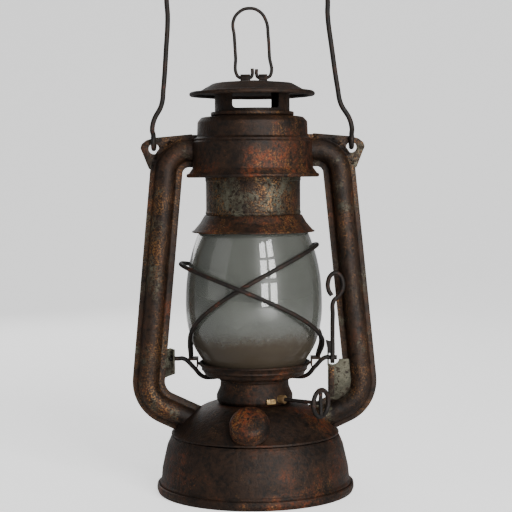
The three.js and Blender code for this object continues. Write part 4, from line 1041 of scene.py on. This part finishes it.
def tube_half():
    """The front half of the right tube."""
    section = poly_curve("tube_section", tube_section(), closed=True)
    path = poly_curve("tube_half", tube_line(), closed=False)
    path.data.bevel_mode = "OBJECT"
    path.data.bevel_object = section
    path.data.use_fill_caps = True
    path.data.dimensions = "3D"
    path.data.twist_mode = "Z_UP"
    pick(path)
    bpy.ops.object.convert(target="MESH")
    half = bpy.context.object
    bpy.data.objects.remove(section)
    half.rotation_euler = (math.pi / 2, 0, 0)
    placed(half)
    bpy.ops.object.mode_set(mode="EDIT")
    bpy.ops.mesh.select_all(action="SELECT")
    bpy.ops.mesh.remove_doubles(threshold=0.001 * MM)
    bpy.ops.mesh.normals_make_consistent(inside=False)
    bpy.ops.object.mode_set(mode="OBJECT")
    block = fount_block()
    modified(half, "BOOLEAN", object=block, operation="DIFFERENCE", solver="EXACT")
    bpy.data.objects.remove(block)
    return half


def fount_block():
    """A solid that fills the dome, for ending the tubes on it."""
    line = [(x - 0.15, z) for x, z in dome_line()]
    return turned("fount_block", [(0, 20), (DOME.r, 20), *line, (0, DOME.high)], wall=0, dent=False)


def ear_outline(side):
    x, z = TUBE_TOP_X, TUBE_TOP_Z
    wall = DRUM.r - DRUM_FLARE + 0.2
    corners = [
        (wall, z - 1), (wall, z + 10), (x + 7.7, z + 8, 1.5), (x + 12.7, z + 6.5, 2), (x + 15.6, z + 4.2, 2),
        (x + 16.4, z + 1.6, 1.5), (x + 15.2, z - 1, 1.5), (x + 11.3, z - 11, 1.0), (x + 1.5, z - 11),
        (x - 5, z - 2),
    ]
    return [(side * p.x, p.y) for p in rounded(corners, closed=True)]


def build_tubes():
    model = tube_half()
    hole_x, hole_z = TUBE_TOP_X + EAR_HOLE_OUT, TUBE_TOP_Z + EAR_HOLE_UP
    for side, side_name in ((-1, "left"), (1, "right")):
        for way, face in ((1, "front"), (-1, "back")):
            pick(model)
            bpy.ops.object.duplicate()
            half = bpy.context.object
            half.scale = (side, way, 1)
            placed(half)
            if side * way < 0:
                bpy.ops.object.mode_set(mode="EDIT")
                bpy.ops.mesh.select_all(action="SELECT")
                bpy.ops.mesh.normals_make_consistent(inside=False)
                bpy.ops.object.mode_set(mode="OBJECT")
            near, far = -way * SEAM_GAP, -way * (SEAM_GAP + SHEET)
            ear = sheet_plate("ear", [ear_outline(side), circle(side * hole_x, hole_z, EAR_HOLE_RADIUS)],
                              min(near, far), max(near, far))
            tube = joined(f"{side_name}_pipe_{face}", [half, ear])
            stands_for(smooth(tube), "frame", "tube_rust", finish_of("tube_rust"), f"{side_name}_tube_{face}")
    bpy.data.objects.remove(model)


def build_brackets():
    softened("crank_bracket", "left_bracket", "frame", "galvanised", "ear_zinc")
    softened("crank_web", "right_web", "frame", "galvanised", "ear_zinc")
    softened("crank_strip", "lever_strip", "frame", "tube_rust", "tube_rust")


# ---------------------------------------------------------------- lift wire, lever and bail


def build_lift():
    sizes = bpy.context.scene.lantern_sizes
    pivot = joint("lever_turn").pivot.z
    radius = sizes.crank_wire / MM / 2
    sweep, low = CRANK.back - radius, CRANK.low + radius
    slope = CRANK.right - 7.0
    left_end = -CRANK.left

    def half(side, end):
        bends = [(end, 0, pivot), (slope + 3, 0, pivot), (slope, 0, pivot), (slope - 6, 1.5, pivot - 5.4),
                 (slope - 11.2, 4.5, low + 1.6)]
        bends += [(sweep * math.cos(math.radians(a)), sweep * math.sin(math.radians(a)), low)
                  for a in (20, 50)]
        return [(side * x, y, z) for x, y, z in bends]

    crank = wire("lift_wire", [*half(-1, left_end), (0, sweep, low), *reversed(half(1, CRANK.right))],
                 sizes.crank_wire)
    stands_for(crank, "lift_crank", "dark_wire", finish_of("dark_wire"), "lift_crank")

    x = CRANK.right - 2.8
    back, forward = -(1.25 + radius + 0.3), -(6.5 + radius + 0.5)
    thumb_z = LEVER.high - radius - THUMB_TALL / 2

    def thumb(turn):
        turn = math.radians(turn)
        return (x + 1.6 + (THUMB_WIDE / 2 - radius) * math.sin(turn) * 1.1,
                forward - 0.5 + 0.7 * math.cos(turn),
                thumb_z - THUMB_TALL / 2 * math.cos(turn))

    stem = wire("thumb_wire", [
        (x, back, pivot + 1), (x, back, pivot + 12), (x, forward * 0.8, thumb_z - 18),
        (x + 0.4, forward, thumb_z - 10), *[thumb(a) for a in (25, 65, 110, 150, 180, 210, 250, 295, 330)],
    ], sizes.crank_wire)
    eye = drum_shape("lever_eye", radius + 2.3, 2.4, (x, 0, pivot), (1, 0, 0), steps=32)
    bore = drum_shape("lever_bore", radius + 0.3, 12, (x, 0, pivot), (1, 0, 0), steps=32)
    modified(eye, "BOOLEAN", object=bore, operation="DIFFERENCE", solver="EXACT")
    bpy.data.objects.remove(bore)
    finger = sheet_plate("finger_plate", [rounded([
        (x - 2.6, pivot + 3, 0.4), (x + 1.4, pivot + 3, 0.4), (x + 1.4, pivot + 9.5, 0.6),
        (x - 4.3, pivot + 11.2, 0.5)], closed=True)], back - 0.6, back + 0.6)
    lever = joined("thumb_lever", [stem, smooth(eye), finger])
    stands_for(lever, "lift_crank", "dark_wire", finish_of("dark_wire"), "lift_lever")


def build_bail():
    sizes = bpy.context.scene.lantern_sizes
    hook = joint("bail_swing").pivot.z
    thick = sizes.bail_wire / MM
    ring = (BAIL.back - BAIL.front) / 2 - thick / 2
    hole_x = TUBE_TOP_X + 8.3
    rise, arm = BAIL.high - thick / 2 - hook, BAIL_ARM
    spread = hole_x - 5.2

    def hook_points(side):
        return [(side * hole_x, -ring * math.cos(math.radians(a)), hook - ring * math.sin(math.radians(a)))
                for a in (215, 180, 140, 100, 60, 20, -20, -60)]

    def arm_points(side):
        bends = [(hole_x + 0.6, 7), (hole_x - 0.6, 12.7), (spread - 0.4, 22), (spread - 2, 31.6),
                 (spread - 4.6, 55), (spread - 6.4, 74.9), (spread - 6.2, arm)]
        return [(side * x + BAIL_SKEW * up / rise, 0, hook + up) for x, up in bends]

    half = spread - 6.2
    arch = [(BAIL_SKEW + half * math.cos(math.radians(a)), 0,
             hook + arm + (rise - arm) * math.sin(math.radians(a)))
            for a in (160, 135, 112, 90, 68, 45, 20)]
    bail = wire("carry_bail", [
        *hook_points(-1), *arm_points(-1), *arch, *reversed(arm_points(1)), *reversed(hook_points(1)),
    ], sizes.bail_wire)
    stands_for(bail, "bail", "dark_wire", finish_of("dark_wire"), "bail")


def build_inner_works():
    """The fount deck, burner parts, wick and seal keep the frame's shape and take their finishes."""
    for node in ("burner_socket", "burner_base", "wick_tube", "wick_sprocket_1", "wick_sprocket_2"):
        own_finish(node, "aged_brass")
    own_finish("fount_deck", "fount_rust")
    own_finish("wick", "wick_cotton")
    own_finish("filler_gasket", "cork")


# ---------------------------------------------------------------- stage


def backdrop_paint(name):
    """Matt white, a little brighter to the camera than the lights alone would make it."""
    finish = Finish(name)
    seen = finish.node("ShaderNodeLightPath", out="Is Camera Ray")
    grain = finish.noise(3, 2, 0.5, 1.0)
    base = finish.mix((0.8, 0.8, 0.8), (0.84, 0.84, 0.84), grain)
    glow = finish.mix((0, 0, 0), (1, 1, 1), seen)
    return finish.done(finish.surface(
        Base_Color=base, Roughness=0.8, Emission_Color=glow, Emission_Strength=1.05))


def soft_light(name, place, aim, size, power, shade=(1, 1, 1)):
    """A rectangular soft light at a place in metres, looking at another."""
    deselect()
    bpy.ops.object.light_add(type="AREA", location=place)
    lamp = bpy.context.object
    lamp.name = name
    lamp.data.shape = "RECTANGLE"
    lamp.data.size, lamp.data.size_y = size
    lamp.data.energy = power
    lamp.data.color = shade
    lamp.rotation_mode = "QUATERNION"
    lamp.rotation_quaternion = (Vector(aim) - Vector(place)).to_track_quat("-Z", "Y")
    return lamp


def build_stage():
    deselect()
    bpy.ops.mesh.primitive_plane_add(size=6)
    floor = bpy.context.object
    floor.name = "floor"
    bpy.ops.object.mode_set(mode="EDIT")
    bpy.ops.mesh.select_all(action="DESELECT")
    bpy.ops.object.mode_set(mode="OBJECT")
    for edge in floor.data.edges:
        edge.select = all(floor.data.vertices[v].co.y > 2.9 for v in edge.vertices)
    bpy.ops.object.mode_set(mode="EDIT")
    bpy.ops.mesh.select_mode(type="EDGE")
    bpy.ops.mesh.extrude_region_move(TRANSFORM_OT_translate={"value": (0, 0, 4)})
    bpy.ops.mesh.select_all(action="SELECT")
    bpy.ops.mesh.normals_make_consistent(inside=False)
    bpy.ops.object.mode_set(mode="OBJECT")
    modified(floor, "BEVEL", width=2.0, segments=32, limit_method="ANGLE", angle_limit=math.radians(50))
    smooth(floor, 60)
    floor.data.materials.append(backdrop_paint("backdrop_paint"))
    for column in (-1, 1):
        for row in (-1, 0, 1):
            place = (0.56 + column * 0.16, -1.15 + column * 0.07, 0.55 + row * 0.38)
            soft_light(f"window_{column}_{row}", place, (0, 0, 0.15), PANE_SIZE, PANE_POWER)
    soft_light("left_fill", (-1.1, -0.5, 0.5), (0, 0, 0.15), (0.8, 0.9), 1.5)
    soft_light("top_fill", (0.1, 0.1, 1.3), (0, 0, 0), (1.2, 1.2), 3)
    soft_light("rim", (-0.4, 0.9, 0.5), (0, 0, 0.18), (0.9, 0.6), 3)
    world = bpy.data.worlds.new("bright_room")
    world.use_nodes = True
    world.node_tree.nodes["Background"].inputs["Color"].default_value = (1, 1, 1, 1)
    world.node_tree.nodes["Background"].inputs["Strength"].default_value = ROOM_LIGHT
    bpy.context.scene.world = world
    deselect()
    bpy.ops.object.camera_add(location=(CAMERA_X * MM, -CAMERA_AWAY * MM, CAMERA_Z * MM))
    camera = bpy.context.object
    camera.name = "view_camera"
    camera.data.lens = CAMERA_LENS
    camera.data.sensor_width = 36
    camera.data.dof.use_dof = False
    aim = Vector((CAMERA_X * MM, 0, CAMERA_AIM_Z * MM))
    look = (aim - camera.location).to_track_quat("-Z", "Y")
    camera.rotation_mode = "QUATERNION"
    camera.rotation_quaternion = look @ Quaternion((0, 0, 1), math.radians(CAMERA_ROLL))
    bpy.context.scene.camera = camera


# ---------------------------------------------------------------- the add-on


class LANTERN_OT_fount(bpy.types.Operator):
    """The fount: bottom pan, skirt and air dome"""

    bl_idname = "lantern.fount"
    bl_label = "Fount"

    def execute(self, context):
        build_fount()
        return {"FINISHED"}


class LANTERN_OT_filler(bpy.types.Operator):
    """The filler neck and its screw cap"""

    bl_idname = "lantern.filler"
    bl_label = "Filler"

    def execute(self, context):
        build_filler()
        return {"FINISHED"}


class LANTERN_OT_burner(bpy.types.Operator):
    """The burner housing, dome, bush and lock tab"""

    bl_idname = "lantern.burner"
    bl_label = "Burner"

    def execute(self, context):
        build_burner()
        return {"FINISHED"}


class LANTERN_OT_inner_works(bpy.types.Operator):
    """The fount deck, burner parts, wick and seal, in the frame's own shape"""

    bl_idname = "lantern.inner_works"
    bl_label = "Inner works"

    def execute(self, context):
        build_inner_works()
        return {"FINISHED"}


class LANTERN_OT_wick_gear(bpy.types.Operator):
    """The wick spindle and its wire knob"""

    bl_idname = "lantern.wick_gear"
    bl_label = "Wick wheel"

    def execute(self, context):
        build_wick_gear()
        return {"FINISHED"}


class LANTERN_OT_gallery(bpy.types.Operator):
    """The dish that the globe stands in, and the finish of its ears"""

    bl_idname = "lantern.gallery"
    bl_label = "Globe dish"

    def execute(self, context):
        build_gallery()
        return {"FINISHED"}


class LANTERN_OT_globe(bpy.types.Operator):
    """The glass globe"""

    bl_idname = "lantern.globe"
    bl_label = "Globe"

    def execute(self, context):
        build_globe()
        return {"FINISHED"}


class LANTERN_OT_guards(bpy.types.Operator):
    """The two crossed guard wires"""

    bl_idname = "lantern.guards"
    bl_label = "Guard wires"

    def execute(self, context):
        build_guards()
        return {"FINISHED"}


class LANTERN_OT_chimney(bpy.types.Operator):
    """The chimney: flare, barrel and vent neck"""

    bl_idname = "lantern.chimney"
    bl_label = "Chimney"

    def execute(self, context):
        build_chimney()
        return {"FINISHED"}


class LANTERN_OT_hood(bpy.types.Operator):
    """The hood and the straps of the top loop"""

    bl_idname = "lantern.hood"
    bl_label = "Hood"

    def execute(self, context):
        build_hood()
        return {"FINISHED"}


class LANTERN_OT_top_loop(bpy.types.Operator):
    """The finger loop on the hood"""

    bl_idname = "lantern.top_loop"
    bl_label = "Top loop"

    def execute(self, context):
        build_top_loop()
        return {"FINISHED"}


class LANTERN_OT_drum(bpy.types.Operator):
    """The air drum, its ring and the finish of the chimney's spring"""

    bl_idname = "lantern.drum"
    bl_label = "Air drum"

    def execute(self, context):
        build_drum()
        return {"FINISHED"}


class LANTERN_OT_tubes(bpy.types.Operator):
    """The two side tubes with their bail ears"""

    bl_idname = "lantern.tubes"
    bl_label = "Side tubes"

    def execute(self, context):
        build_tubes()
        return {"FINISHED"}


class LANTERN_OT_brackets(bpy.types.Operator):
    """The bracket, web and strip at the lift wire"""

    bl_idname = "lantern.brackets"
    bl_label = "Brackets"

    def execute(self, context):
        build_brackets()
        return {"FINISHED"}


class LANTERN_OT_lift(bpy.types.Operator):
    """The lift wire and its thumb lever"""

    bl_idname = "lantern.lift"
    bl_label = "Lift wire"

    def execute(self, context):
        build_lift()
        return {"FINISHED"}


class LANTERN_OT_bail(bpy.types.Operator):
    """The carrying bail with its hooks"""

    bl_idname = "lantern.bail"
    bl_label = "Bail"

    def execute(self, context):
        build_bail()
        return {"FINISHED"}


class LANTERN_OT_stage(bpy.types.Operator):
    """Floor, lights and camera"""

    bl_idname = "lantern.stage"
    bl_label = "Stage"

    def execute(self, context):
        build_stage()
        return {"FINISHED"}


OPERATORS = (
    LANTERN_OT_fount, LANTERN_OT_filler, LANTERN_OT_burner, LANTERN_OT_inner_works,
    LANTERN_OT_wick_gear, LANTERN_OT_gallery, LANTERN_OT_globe, LANTERN_OT_guards,
    LANTERN_OT_chimney, LANTERN_OT_hood, LANTERN_OT_top_loop, LANTERN_OT_drum,
    LANTERN_OT_tubes, LANTERN_OT_brackets, LANTERN_OT_lift, LANTERN_OT_bail,
    LANTERN_OT_stage,
)


class LANTERN_PT_build(bpy.types.Panel):
    """Lists the lantern's pieces in building order"""

    bl_idname = "LANTERN_PT_build"
    bl_label = "Tubular Lantern"
    bl_space_type = "VIEW_3D"
    bl_region_type = "UI"
    bl_category = "Lantern"

    def draw(self, context):
        for group in (context.scene.lantern_sizes, context.scene.lantern_colours):
            column = self.layout.column(align=True)
            for key in group.__annotations__:
                column.prop(group, key)
        column = self.layout.column(align=True)
        for operator in OPERATORS:
            column.operator(operator.bl_idname)


CLASSES = (LanternSizes, LanternColours, *OPERATORS, LANTERN_PT_build)


def register():
    for each in CLASSES:
        bpy.utils.register_class(each)
    bpy.types.Scene.lantern_sizes = bpy.props.PointerProperty(type=LanternSizes)
    bpy.types.Scene.lantern_colours = bpy.props.PointerProperty(type=LanternColours)


def unregister():
    del bpy.types.Scene.lantern_colours
    del bpy.types.Scene.lantern_sizes
    for each in reversed(CLASSES):
        bpy.utils.unregister_class(each)


def main():
    register()
    for operator in OPERATORS:
        step = getattr(bpy.ops.lantern, operator.bl_idname.split(".")[1])
        step()
    deselect()


if __name__ == "__main__":
    main()
